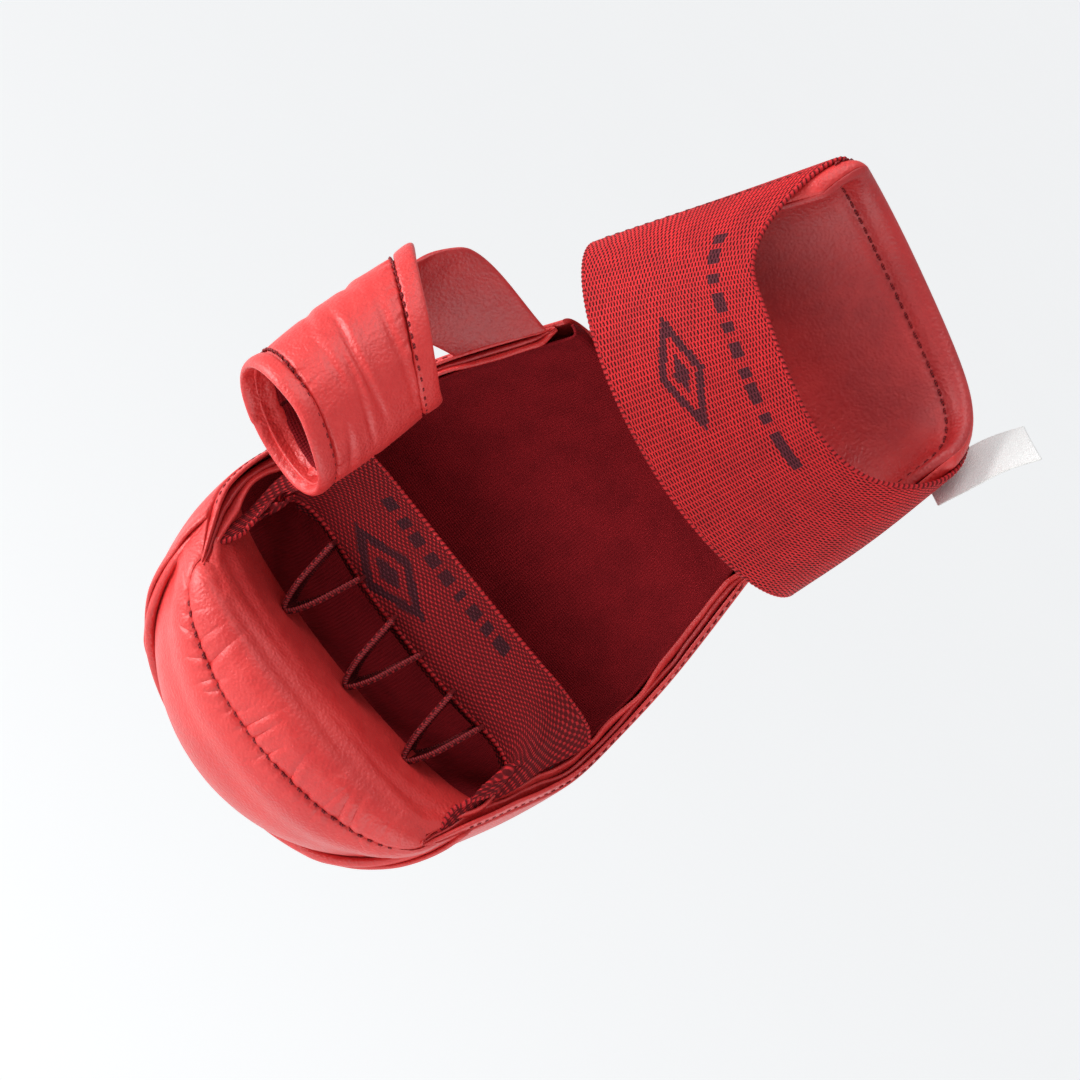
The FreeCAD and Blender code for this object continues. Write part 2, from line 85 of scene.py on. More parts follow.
LEATHER = 1.1
LINING = 0.8
RIM_STACK = 3.4           # all the plies side by side at the rim
HEM_TAIL = 2.6            # the hems' plies close to a point this far past the front seam's ends

# ---- elastics ----
ELASTIC = 1.1
BAND_TOP_Z = -70.5
BAND_BOTTOM_Z = -88.5
PALM_Y = -18.0
BAND_TUCK = 2.6           # its ends are sewn in this far from the rim, between the hem's plies
LOOP_SHARES = (-0.1, 0.52)  # the loop elastic's edges, as shares of the band's width
LOOP_BEHIND = 2.3
DIVIDER_X = (-24.0, -3.5, 16.5)
DIVIDER_DEPTH = 11.0
DIVIDER_SPREAD = 4.5
DIVIDER_FRONT_Y = -33.0

# ---- wrist elastic: half sizes at its hand edge and its arm edge ----
WRIST_HALF_WIDTH = (43.0, 34.5)
WRIST_PALM_DEPTH = (26.0, 21.0)
WRIST_BACK_DEPTH = (19.0, 20.5)
WRIST_MIDDLE_X = (-2.0, 7.5)
WRIST_MIDDLE_Y = (2.0, 0.0)
WRIST_EDGE_Z = (-11.7, 37.5)
WRIST_SLOPE = (-0.152, -0.246)
WRIST_PALM_DIP = (11.3, 28.0)
WRIST_SEAM_ANGLE = 10.0

# ---- tongue ----
TONGUE_ANGLES = (-4.0, 186.0)
TONGUE_START = ELASTIC + 0.1
TONGUE_THICKNESS = 4.6
TONGUE_LENGTH = 52.0       # roughly, along the arm, with the millimetres in a degree round it
TONGUE_DEGREE = 0.55
FOLD_ANGLES = (38, 142)    # how far round the wrist the leather fold reaches
QUILT_INSET = 6.0          # a line of stitches runs round its inner face, this far from its edge

# ---- thumb guard ----
THUMB_BASE = np.array((-52.5, -28.5, -40.5))
THUMB_TIP = np.array((-53.0, -51.5, -74.5))
THUMB_HALF = (15.5, 14.0)
BASE_SLANT = (8.5, 5.0)
TIP_SLANT = (2.5, 0.0)
THUMB_LENGTH = float(np.linalg.norm(THUMB_TIP - THUMB_BASE))
THUMB_TIP_HEM = 0.115      # share of the tube's length that each folded hem takes
THUMB_BASE_HEM = 0.135
THUMB_SEAM_ANGLE = 250.0   # where the tube is sewn shut, out of sight behind
UNDER_HEM = 0.07           # the leather runs on this far under each hem
STRAP_LENGTH = 19.0
STRAP_MIDDLE_Z = -37.0
STRAP_CLEARANCE = 1.4
STRAP_ANGLE = 216.0       # where round the tube it is sewn on
STRAP_SHARES = (0.02, 0.5)  # its two edges, along the tube
STRAP_BOW = (9.0, 4.5)    # how far it bows out on its way, at its two edges
STRAP_RISE = 5.0          # and how far its wrist edge rises
# long creases round the thumb tube: (share along, middle angle, half length, slant, depth, half width)
THUMB_FOLDS = ((0.25, 80, 42, 0.03, 0.50, 1.1), (0.515, 92, 46, 0.05, 0.65, 0.9),
               (0.585, 66, 36, 0.03, 0.50, 0.8), (0.69, 108, 24, 0.02, 0.25, 1.0),
               (0.74, 34, 26, -0.05, 0.45, 1.0), (0.40, 186, 40, 0.06, 0.40, 1.2),
               (0.64, 172, 30, -0.05, 0.35, 1.1), (0.45, 265, 60, 0.04, 0.60, 1.3),
               (0.60, 310, 45, -0.04, 0.60, 1.2))

# ---- label ----
LABEL_LENGTH = 24.0
LABEL_WIDTH = 14.0
LABEL_ROOT = np.array((41.6, 7.6, 15.0))
LABEL_ACROSS = np.array((-0.53, 0.848, 0.0))
LABEL_LEAN = 14.0

STITCH = 1.9
STITCH_PITCH = 2.3
THREAD = 0.6
ROPE_RINGS = 5             # rings of points in each turn of a wound edge
ROPE_SIDES = 10
ROPE_RELIEF = 0.16         # how much of its radius the yarn's turns rise and sink
YARN_PITCH = 1.3           # how far apart the turns lie on the wide elastics

RIBBON = 0.9               # thicknesses of the narrow elastics,
SOFT_LEATHER = 0.9         # of the thumb guard's and the fold's leather,
HEM_LEATHER = 0.8          # of leather in a turned hem,
PLY_LEATHER = 0.85         # of each ply in the side hems,
TONGUE_PLY = 0.7           # of the tongue's leathers,
THUMB_PLY = 0.7            # of the foam and the lining in the thumb guard,
SATIN = 0.32               # and of the label

AIM = np.array((-2.0, -14.0, -54.0))  # the camera and the lights look at this point
CAMERA_TILT = 12.0         # degrees down
CAMERA_ROLL = (0.6225, 0.7826)  # cosine and sine of its roll
CAMERA_DISTANCE = 1.0
LENS = 156.67
FLOOR_Z = -0.55
FLOOR_REACH = 80.0
FLOOR_GLOW = 0.43
SKY = 0.52
LIGHTS = (("key", (-1.15, -0.40, -0.30), 0.6, 15.0), ("top", (-0.55, -0.35, 0.85), 0.7, 5.0),
          ("fill", (0.85, -0.55, -0.40), 0.7, 4.0))


# ======== small helpers ========

def lerp(pair, share):
    return pair[0] + (pair[1] - pair[0]) * share


def ease(share):
    """0 below 0, 1 above 1, and smooth between."""
    share = np.clip(share, 0.0, 1.0)
    return share * share * (3 - 2 * share)


def unit(vectors):
    return vectors / np.maximum(np.linalg.norm(vectors, axis=-1, keepdims=True), 1e-9)


def smooth(stations, at):
    """A smooth curve through given stations, read at one or many distances."""
    x, y = np.array(stations, float).T
    slope = np.empty_like(y)
    slope[1:-1] = (y[2:] - y[:-2]) / (x[2:] - x[:-2])
    slope[0] = (y[1] - y[0]) / (x[1] - x[0])
    slope[-1] = (y[-1] - y[-2]) / (x[-1] - x[-2])
    at = np.clip(at, x[0], x[-1])
    i = np.clip(np.searchsorted(x, at) - 1, 0, len(x) - 2)
    span = x[i + 1] - x[i]
    u = (at - x[i]) / span
    return ((2 * u ** 3 - 3 * u ** 2 + 1) * y[i] + (u ** 3 - 2 * u ** 2 + u) * span * slope[i]
            + (3 * u ** 2 - 2 * u ** 3) * y[i + 1] + (u ** 3 - u ** 2) * span * slope[i + 1])


def distances(path):
    """How far along a path each of its points lies."""
    steps = np.linalg.norm(np.diff(path, axis=0), axis=-1)
    return np.concatenate([[0.0], np.cumsum(steps)])


def curve_through(points, count):
    """count evenly spaced points along a smooth curve through a few given points."""
    points = np.array(points, float)
    knots = distances(points)
    fine = np.linspace(0, knots[-1], count * 6)
    path = np.stack([smooth(np.stack([knots, points[:, k]], 1), fine) for k in range(3)], 1)
    return resample(path, count)


def resample(path, count):
    """The same path with count evenly spaced points."""
    far = distances(path)
    even = np.linspace(0, far[-1], count)
    return np.stack([np.interp(even, far, path[:, k]) for k in range(3)], 1)


def wander(at, spacing, seed):
    """A smooth irregular number from -1 to 1, that changes every spacing millimetres or so."""
    at = np.asarray(at, float)
    random = np.random.default_rng(seed)
    low = at.min() - spacing
    knots = np.arange(low, at.max() + 3 * spacing, spacing)
    values = random.uniform(-1, 1, len(knots))
    return smooth(np.stack([knots, values], 1), at)


def grid_normals(grid):
    """Unit normals of a grid of points: rows run on, columns run across."""
    on = np.gradient(grid, axis=0)
    across = np.gradient(grid, axis=1)
    return unit(np.cross(on, across))


def cloth_lengths(grid):
    """For each point of a grid, its distance across and its distance on, in millimetres."""
    rows, columns = grid.shape[:2]
    across = distances(grid[rows // 2])
    on = distances(grid[:, columns // 2])
    across, on = np.meshgrid(across, on)
    return np.stack([across, on, np.zeros_like(on)], -1)


# ======== meshes ========

def grid_faces(rows, columns, closed=False, flip=False):
    """Quads between the points of a grid. closed joins the last column to the first."""
    i, j = np.meshgrid(np.arange(rows - 1), np.arange(columns if closed else columns - 1),
                       indexing="ij")
    right = (j + 1) % columns
    quads = np.stack([i * columns + j, i * columns + right,
                      (i + 1) * columns + right, (i + 1) * columns + j], -1).reshape(-1, 4)
    return quads[:, ::-1] if flip else quads


def make_mesh(name, points, faces, material, cloth=None):
    """A smooth-shaded mesh object. points and cloth are in millimetres."""
    mesh = bpy.data.meshes.new(name)
    mesh.from_pydata((np.asarray(points).reshape(-1, 3) * MM).tolist(), [], faces.tolist())
    mesh.shade_smooth()
    if cloth is not None:
        attribute = mesh.attributes.new("cloth", "FLOAT_VECTOR", "POINT")
        attribute.data.foreach_set("vector", np.asarray(cloth, np.float32).ravel())
    mesh.materials.append(material)
    mesh.update()
    piece = bpy.data.objects.new(name, mesh)
    bpy.context.scene.collection.objects.link(piece)
    return piece


def grid_piece(name, grid, material, closed=False, flip=False, cloth=None):
    if cloth is None:
        cloth = cloth_lengths(grid)
    rows, columns = grid.shape[:2]
    return make_mesh(name, grid, grid_faces(rows, columns, closed, flip), material, cloth)


def face(piece, side):
    """Turns a sheet's faces to the back of the hand, side 1, or to the palm, side -1."""
    normals = np.array([polygon.normal[1] for polygon in piece.data.polygons])
    if normals.mean() * side < 0:
        piece.data.flip_normals()


def thicken(piece, thickness):
    """Gives a one-layer mesh its real thickness, inwards, with a rounded edge."""
    solid = piece.modifiers.new("Thickness", "SOLIDIFY")
    solid.thickness = thickness * MM
    solid.offset = -1
    soft = piece.modifiers.new("Rounding", "SUBSURF")
    soft.levels = 1
    soft.render_levels = 1


def rework(piece, change):
    """Makes one change to a piece's mesh."""
    bm = bmesh.new()
    bm.from_mesh(piece.data)
    change(bm)
    bm.to_mesh(piece.data)
    bm.free()
    piece.data.shade_smooth()


def close_holes(bm):
    bmesh.ops.holes_fill(bm, edges=[edge for edge in bm.edges if edge.is_boundary], sides=0)


def face_outwards(bm):
    bmesh.ops.recalc_face_normals(bm, faces=bm.faces)


def cap_rope(bm):
    """Closes both ends of a rope with one face each."""
    points = list(bm.verts)
    bm.faces.new(points[:ROPE_SIDES])
    bm.faces.new(points[-ROPE_SIDES:][::-1])


def rope(name, path, outward, material, radius, pitch):
    """An overlocked edge: yarn wound round the edge of an elastic."""
    count = int(distances(path)[-1] / pitch * ROPE_RINGS)
    path = resample(path, count)
    on = unit(np.gradient(path, axis=0))
    side = unit(np.cross(on, resample(outward, count)))
    up = np.cross(side, on)
    far = distances(path)[:, None]
    angles = np.linspace(0, 2 * math.pi, ROPE_SIDES, endpoint=False)[None, :]
    thick = (radius * (1 + ROPE_RELIEF * np.cos(2 * math.pi * far / pitch - angles)))[..., None]
    ring = (path[:, None] + side[:, None] * np.cos(angles)[..., None] * thick
            + up[:, None] * np.sin(angles)[..., None] * thick)
    far, around = np.broadcast_arrays(far, angles * radius)
    cloth = np.stack([far, around, np.zeros_like(far)], -1)
    piece = make_mesh(name, ring, grid_faces(count, ROPE_SIDES, closed=True), material, cloth)
    rework(piece, cap_rope)
    return piece


def wound_edges(names, grid, body, radius):
    """The yarn over the first and the last row of an elastic's grid."""
    out = -grid_normals(grid)
    for name, row in zip(names, (0, -1)):
        line = grid[row] - out[row] * (ELASTIC / 2)
        finish_piece(rope(name, line, out[row], EDGE_YARN, radius, YARN_PITCH), body, "elastic")


def stitches(name, path, outward, lift, seed, radius=THREAD / 2):
    """A row of bent stitches along a path: both ends of each go down into the leather."""
    path = np.asarray(path, float)
    far = distances(path)
    random = np.random.default_rng(seed)
    rings = 7
    sides = 6
    points, faces, cloth = [], [], []
    at = STITCH_PITCH / 2
    while at < far[-1] - STITCH_PITCH / 2:
        here = at + random.uniform(-0.06, 0.06) * STITCH_PITCH
        span = STITCH * random.uniform(0.92, 1.06)
        turn = random.uniform(-0.07, 0.07)
        along = np.linspace(-0.5, 0.5, rings)
        spots = here + along * span
        middle = np.stack([np.interp(spots, far, path[:, k]) for k in range(3)], 1)
        out = unit(np.stack([np.interp(spots, far, outward[:, k]) for k in range(3)], 1))
        on = unit(np.gradient(middle, axis=0))
        side = unit(np.cross(on, out))
        rise = lift + radius - (2 * along) ** 4 * (radius * 2.2)
        middle = middle + out * rise[:, None] + side * (turn * along * span)[:, None]
        thick = radius * (1 - 0.45 * (2 * np.abs(along)) ** 3)
        angles = np.linspace(0, 2 * math.pi, sides, endpoint=False)
        ring = (middle[:, None] + side[:, None] * (np.cos(angles)[None, :, None] * thick[:, None, None])
                + out[:, None] * (np.sin(angles)[None, :, None] * thick[:, None, None]))
        start = len(points) * rings * sides
        points.append(ring.reshape(-1, 3))
        faces.append(grid_faces(rings, sides, closed=True) + start)
        strand = np.zeros((rings, sides, 3))
        strand[..., 0] = (spots - here)[:, None]
        strand[..., 1] = (angles * radius)[None, :]
        strand[..., 2] = random.uniform(0, 1)
        cloth.append(strand.reshape(-1, 3))
        at += STITCH_PITCH
    piece = make_mesh(name, np.concatenate(points), np.concatenate(faces), THREAD_RED,
                      np.concatenate(cloth))
    rework(piece, close_holes)
    return piece


def sewn_row(name, path, above, body, *nodes, **details):
    """A finished row of stitches. above is the same line, a millimetre further out of the leather."""
    row = stitches(name, path, unit(above - path), **details)
    finish_piece(row, body, "thread", *nodes)


def rests(piece):
    co = np.empty(len(piece.data.vertices) * 3, np.float32)
    piece.data.vertices.foreach_get("co", co)
    return co.reshape(-1, 3).astype(float)


def plump(piece, sewn, pressure, slack, most, frames=18, bending=0.5, rest=None):
    """Lets a leather panel settle as cloth: sewn down at its seams, cut a little too big, and filled.

    The panel is run at twenty times its size, where the solver is at its best.
    """
    scale = 20.0
    start = rests(piece)
    mesh = piece.data.copy()
    mesh.vertices.foreach_set("co", (start * scale).astype(np.float32).ravel())
    trial = bpy.data.objects.new("trial", mesh)
    bpy.context.scene.collection.objects.link(trial)
    group = trial.vertex_groups.new(name="sewn")
    group.add([int(k) for k in sewn], 1.0, "REPLACE")
    if rest is not None:
        trial.shape_key_add(name="Basis")
        cut = trial.shape_key_add(name="cut")
        cut.data.foreach_set("co", (rest * MM * scale).astype(np.float32).ravel())
    cloth = trial.modifiers.new("Cloth", "CLOTH")
    settings = cloth.settings
    settings.quality = 7
    settings.mass = 0.5
    settings.tension_stiffness = 20
    settings.compression_stiffness = 20
    settings.shear_stiffness = 10
    settings.bending_stiffness = bending
    settings.use_pressure = True
    settings.uniform_pressure_force = pressure
    settings.vertex_group_mass = "sewn"
    settings.effector_weights.gravity = 0
    if rest is not None:
        settings.rest_shape_key = cut
    settings.shrink_min = -slack
    cloth.point_cache.frame_start = 1
    cloth.point_cache.frame_end = frames
    scene = bpy.context.scene
    for number in range(1, frames + 1):
        scene.frame_set(number)
    shown = trial.evaluated_get(bpy.context.evaluated_depsgraph_get())
    co = np.empty(len(mesh.vertices) * 3, np.float32)
    shown.data.vertices.foreach_get("co", co)
    move = co.reshape(-1, 3) / scale - start
    size = np.linalg.norm(move, axis=1, keepdims=True)
    move *= np.minimum(1.0, most * MM / np.maximum(size, 1e-9))
    piece.data.vertices.foreach_set("co", (start + move).astype(np.float32).ravel())
    piece.data.update()
    bpy.data.objects.remove(trial)
    bpy.data.meshes.remove(mesh)
    scene.frame_set(1)


def settle(piece, grid, calm, pressure, most):
    """Where a panel's points lie once it has plumped up as cloth. calm is 0 where it lies as cut."""
    plump(piece, border(*grid.shape[:2]), pressure, 0.012, most, bending=2.0)
    move = rests(piece).reshape(grid.shape) / MM - grid
    for _ in range(8):
        around = move[:-2, 1:-1] + move[2:, 1:-1] + move[1:-1, :-2] + move[1:-1, 2:]
        move[1:-1, 1:-1] = (4 * move[1:-1, 1:-1] + around) / 8
    return grid + move * calm[..., None]


def finish_piece(piece, body, slot, *nodes):
    """Attaches a piece to the body it rides on and hides the CAD nodes that it stands for. slot is not used.
    """
    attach(piece, body)
    if nodes:
        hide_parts(*nodes)


def layer(piece, thickness, *facts):
    """Gives a ply its thickness and finishes it."""
    thicken(piece, thickness)
    finish_piece(piece, *facts)


# ======== materials ========

class Finish:
    """One procedural material and short names for the nodes it is made of."""

    def __init__(self, name, roughness, sheen=0.0, coat=0.0, coat_roughness=0.3, specular=0.5):
        self.material = bpy.data.materials.new(name)
        self.material.use_nodes = True
        self.tree = self.material.node_tree
        self.shader = self.tree.nodes["Principled BSDF"]
        self.set("Roughness", roughness)
        self.set("Sheen Weight", sheen)
        self.set("Sheen Roughness", 0.5)
        self.set("Coat Weight", coat)
        self.set("Coat Roughness", coat_roughness)
        self.set("Specular IOR Level", specular)

    def set(self, name, value):
        self.feed(self.shader.inputs[name], value)

    def node(self, kind, **settings):
        made = self.tree.nodes.new(kind)
        for key, value in settings.items():
            setattr(made, key, value)
        return made

    def feed(self, socket, value):
        if isinstance(value, bpy.types.NodeSocket):
            self.tree.links.new(value, socket)
        else:
            socket.default_value = value

    def math(self, operation, *values):
        made = self.node("ShaderNodeMath", operation=operation)
        for socket, value in zip(made.inputs, values):
            self.feed(socket, value)
        return made.outputs[0]

    def wave(self, kind, value, period):
        """A sine or cosine of a distance over the cloth. period is in millimetres."""
        return self.math(kind, self.math("MULTIPLY", value, 2 * math.pi / period))

    def place(self):
        """Where a point is on the object, in metres."""
        return self.node("ShaderNodeTexCoord").outputs["Object"]

    def cloth(self):
        """A point's distances across and on over its own cloth, in millimetres."""
        vector = self.node("ShaderNodeAttribute", attribute_name="cloth").outputs["Vector"]
        split = self.node("ShaderNodeSeparateXYZ")
        self.feed(split.inputs[0], vector)
        return vector, split.outputs[0], split.outputs[1], split.outputs[2]

    def noise(self, vector, scale, detail=3.0, roughness=0.55):
        made = self.node("ShaderNodeTexNoise")
        self.feed(made.inputs["Vector"], vector)
        made.inputs["Scale"].default_value = scale
        made.inputs["Detail"].default_value = detail
        made.inputs["Roughness"].default_value = roughness
        return made.outputs["Fac"]

    def cells(self, vector, scale, feature="F1"):
        made = self.node("ShaderNodeTexVoronoi", feature=feature)
        self.feed(made.inputs["Vector"], vector)
        made.inputs["Scale"].default_value = scale
        return made.outputs["Distance"]

    def between(self, value, low, high, to_low=0.0, to_high=1.0, soft=True):
        made = self.node("ShaderNodeMapRange")
        made.interpolation_type = "SMOOTHSTEP" if soft else "LINEAR"
        for socket, number in zip(made.inputs, (value, low, high, to_low, to_high)):
            self.feed(socket, number)
        return made.outputs[0]

    def mix(self, share, first, second):
        made = self.node("ShaderNodeMix", data_type="RGBA")
        self.feed(made.inputs[0], share)
        for socket, colour in zip((made.inputs[6], made.inputs[7]), (first, second)):
            self.feed(socket, colour if isinstance(colour, bpy.types.NodeSocket) else (*colour, 1))
        return made.outputs[2]

    def bump(self, height, depth, before=None):
        """depth is the full height of the relief, in millimetres."""
        made = self.node("ShaderNodeBump")
        made.inputs["Strength"].default_value = 1.0
        made.inputs["Distance"].default_value = depth * MM
        self.feed(made.inputs["Height"], height)
        if before is not None:
            self.feed(made.inputs["Normal"], before)
        return made.outputs[0]

    def look(self, colour, roughness, height, depth, before=None):
        """The finished material."""
        self.set("Base Color", colour)
        self.set("Roughness", roughness)
        self.set("Normal", self.bump(height, depth, before))
        return self.material


def leather_material(name, base, dark, light):
    """Smooth synthetic leather: a fine pebble grain, soft mottling, and paler colour on sharp ridges."""
    made = Finish(name, 0.43, sheen=0.02, coat=0.20, coat_roughness=0.34, specular=0.46)
    place = made.place()
    mottle = made.noise(place, 55.0, 4.0)
    patches = made.noise(place, 420.0, 3.0, 0.6)
    tone = made.mix(made.between(mottle, 0.3, 0.7), dark, base)
    tone = made.mix(made.between(patches, 0.35, 0.75, 0.0, 0.25), tone, light)
    # Paler where the surface is sharply convex, on ridges and wrinkle crests.
    paler_ridges = made.between(made.node("ShaderNodeNewGeometry").outputs["Pointiness"], 0.52, 0.62, 0, 0.16)
    colour = made.mix(paler_ridges, tone, light)
    pebble = made.cells(place, 1500.0, "SMOOTH_F1")
    crease = made.noise(place, 1500.0, 4.0, 0.7)
    grain = made.math("ADD", made.math("MULTIPLY", pebble, 0.7), made.math("MULTIPLY", crease, 0.5))
    soft = made.bump(made.noise(place, 230.0, 2.0), 0.16)
    return made.look(colour, made.between(patches, 0.2, 0.8, 0.36, 0.48), grain, 0.24, soft)


def motif(made, across, on, marks):
    """Plain woven marks. Each is (kind, middle across, middle on, half width, half height)."""
    found = None
    for kind, x, y, half, tall in marks:
        dx = made.math("ABSOLUTE", made.math("SUBTRACT", across, x))
        dy = made.math("ABSOLUTE", made.math("SUBTRACT", on, y))
        if kind == "diamonds":
            ring = made.math("ADD", made.math("DIVIDE", dx, half), made.math("DIVIDE", dy, tall))
            inner = made.math("COMPARE", ring, 0.83, 0.17)
            core = made.math("LESS_THAN", ring, 0.34)
            shape = made.math("MAXIMUM", inner, core)
        else:
            shape = made.math("MULTIPLY", made.math("LESS_THAN", dx, half),
                              made.math("LESS_THAN", dy, tall))
        found = shape if found is None else made.math("MAXIMUM", found, shape)
    return found


def woven_material(name, yarn, light, deep, period, marks=(), pits=None):
    """Ribbed elastic. period is the weave's repeat across and on. It is a lattice of raised bumps with
    painted shade between them, or of pits painted dark as shade, where pits says how high the lattice is at
    their edge and at their middle."""
    made = Finish(name, 0.66, specular=0.22)
    vector, across, on, _ = made.cloth()
    sway = made.noise(vector, 0.11, 2.0)
    wobble = made.math("MULTIPLY", made.math("SUBTRACT", made.noise(vector, 1.1, 2.0), 0.5), 0.22)
    on_wobbled = made.math("ADD", on, made.math("MULTIPLY", made.math("SUBTRACT", sway, 0.5), 1.6))
    a = made.wave("COSINE", made.math("ADD", across, wobble), period[0])
    b = made.wave("COSINE", made.math("ADD", on_wobbled, wobble), period[1])
    lattice = made.math("MULTIPLY", a, b)
    strand = made.noise(vector, 5.5, 3.0, 0.7)
    if pits is None:
        height = made.between(lattice, -0.25, 0.75)
        # Painted shade: the yarn darkens where the lattice is low, between the bumps.
        colour = made.mix(height, deep, yarn)
        colour = made.mix(made.between(strand, 0.5, 0.75, 0, 0.55), colour,
                          made.mix(height, deep, light))
    else:
        pit = made.between(lattice, *pits)
        height = made.math("SUBTRACT", 1.0, pit)
        colour = made.mix(made.between(strand, 0.42, 0.72, 0, 0.6), yarn, light)
        # Painted shade: the pits are coloured dark.
        colour = made.mix(pit, colour, deep)
    if marks:
        cell = (period[0] / 2, period[1] / 2)
        across_cell = made.math("SNAP", made.math("ADD", across, cell[0] / 2), cell[0])
        on_cell = made.math("SNAP", made.math("ADD", on, cell[1] / 2), cell[1])
        marked = motif(made, across_cell, on_cell, marks)
        # The marks darken where the weave is low: painted shade as well.
        shade = made.mix(height, tuple(0.35 * c for c in MAROON), MAROON)
        colour = made.mix(made.math("MULTIPLY", marked, 0.93), colour, shade)
    # Random darker blotches in the same deep colour: the weave's own tone.
    blotch = made.noise(vector, 0.16, 3.0)
    colour = made.mix(made.between(blotch, 0.3, 0.75, 0.0, 0.22), colour, deep)
    fibre = made.math("MULTIPLY", strand, 0.35)
    return made.look(colour, made.between(height, 0.0, 1.0, 0.85, 0.55),
                     made.math("ADD", height, fibre), 0.34)


def lining_material():
    """Brushed knit lining, a deep red."""
    made = Finish("lining", 0.9, specular=0.12)
    vector, across, on, _ = made.cloth()
    rib = made.wave("COSINE", across, 0.8)
    loop = made.wave("COSINE", on, 0.55)
    knit = made.math("ADD", made.math("MULTIPLY", rib, 0.5), made.math("MULTIPLY", loop, 0.3))
    fuzz = made.noise(vector, 4.0, 4.0, 0.7)
    patch = made.noise(vector, 0.12, 3.0)
    colour = made.mix(made.between(fuzz, 0.3, 0.7), (0.17, 0.005, 0.009), (0.32, 0.012, 0.017))
    colour = made.mix(made.between(patch, 0.35, 0.7, 0, 0.4), colour, (0.13, 0.004, 0.007))
    return made.look(colour, made.between(fuzz, 0.2, 0.8, 0.75, 0.95), made.math("ADD", knit, fuzz), 0.12)


def thread_material():
    """Twisted polyester thread, dark red."""
    made = Finish("thread", 0.55, specular=0.25)
    _, along, around, tint = made.cloth()
    twist = made.math("SINE", made.math("ADD", made.math("MULTIPLY", along, 2 * math.pi / 0.55),
                                        made.math("MULTIPLY", around, 2 * math.pi / 1.9)))
    # Painted shade: darker in the grooves of the twist.
    colour = made.mix(made.between(twist, -0.8, 0.8), (0.07, 0.002, 0.004), (0.27, 0.010, 0.014))
    colour = made.mix(made.math("MULTIPLY", tint, 0.25), colour, (0.36, 0.02, 0.02))
    return made.look(colour, made.between(twist, -1, 1, 0.62, 0.42), twist, 0.05)


def yarn_material():
    """The yarn wound over the edges of the elastics."""
    made = Finish("edge_yarn", 0.62, specular=0.25)
    vector, along, around, _ = made.cloth()
    wound = made.math("COSINE", made.math("SUBTRACT", made.math("MULTIPLY", along, 2 * math.pi / 1.25),
                                          made.math("DIVIDE", around, 0.62)))
    fibre = made.noise(vector, 6.0, 3.0, 0.7)
    # Painted shade: darker between the wound turns.
    colour = made.mix(made.between(wound, -0.9, 0.1), (0.08, 0.0015, 0.003), (0.50, 0.012, 0.017))
    colour = made.mix(made.between(fibre, 0.45, 0.75, 0, 0.4), colour, (0.66, 0.035, 0.036))
    return made.look(colour, made.between(wound, -1, 1, 0.8, 0.5), made.math("ADD", wound, fibre), 0.08)


def foam_material():
    """Closed cell foam, charcoal grey."""
    made = Finish("foam", 0.8, specular=0.3)
    place = made.place()
    cell = made.cells(place, 1300.0)
    cloud = made.noise(place, 90.0, 3.0)
    colour = made.mix(made.between(cloud, 0.3, 0.7), (0.035, 0.035, 0.038), (0.09, 0.088, 0.09))
    return made.look(colour, made.between(cell, 0.0, 0.6, 0.9, 0.7), cell, 0.15)


def satin_material():
    """White satin ribbon with a fine cross rib and slightly yellowed edges."""
    made = Finish("label_satin", 0.42, sheen=0.3, specular=0.5)
    vector, across, on, _ = made.cloth()
    rib = made.wave("SINE", on, 0.32)
    weft = made.noise(vector, 3.0, 3.0)
    colour = made.mix(made.between(weft, 0.3, 0.7), (0.78, 0.78, 0.77), (0.90, 0.90, 0.89))
    edge = made.math("ABSOLUTE", made.math("SUBTRACT", across, LABEL_WIDTH / 2))
    colour = made.mix(made.between(edge, 5.9, 7.0, 0, 0.35), colour, (0.70, 0.68, 0.64))
    return made.look(colour, made.between(weft, 0.2, 0.8, 0.36, 0.5), rib, 0.03)


LEATHER_RED = leather_material("leather", (0.64, 0.029, 0.027), (0.55, 0.020, 0.020),
                               (0.73, 0.054, 0.046))
# A darker copy of the red leather: painted shade for the plies and strips that lie inside the cuff, behind
# the thumb tube and between the hem's plies.
SHADED_LEATHER = leather_material("shaded_leather", (0.50, 0.020, 0.021), (0.38, 0.013, 0.015),
                                  (0.60, 0.038, 0.032))
MAROON = (0.070, 0.008, 0.018)
YARN = (0.61, 0.010, 0.015)
YARN_LIGHT = (0.80, 0.044, 0.042)
# Painted shade for the wrist elastic's holes, also the colour of its random darker blotches.
PIT_SHADE_AND_BLOTCH = (0.040, 0.0008, 0.0014)


# ======== knuckle pad ========

def pad_frame(along):
    """Middle line of the inner wall: a point, the way on, and the way out of the hand."""
    along = np.asarray(along, float)
    turn = np.clip((along - BACK_LENGTH) / KNUCKLE_RADIUS, 0, math.pi / 2)
    zero = np.zeros_like(along)
    outward = np.stack([zero, np.cos(turn), -np.sin(turn)], -1)
    onward = np.stack([zero, -np.sin(turn), -np.cos(turn)], -1)
    centre = np.array((0.0, BACK_WALL_Y - KNUCKLE_RADIUS, FINGER_WALL_Z + KNUCKLE_RADIUS))
    before = np.minimum(along - BACK_LENGTH, 0.0)[..., None]
    past = np.maximum(along - BACK_LENGTH - BEND_LENGTH, 0.0)[..., None]
    return centre + outward * KNUCKLE_RADIUS + onward * (before + past), onward, outward


def rim_point(along):
    along = np.asarray(along, float)
    return np.stack([np.zeros_like(along), smooth(RIM_Y, along), smooth(RIM_Z, along)], -1)


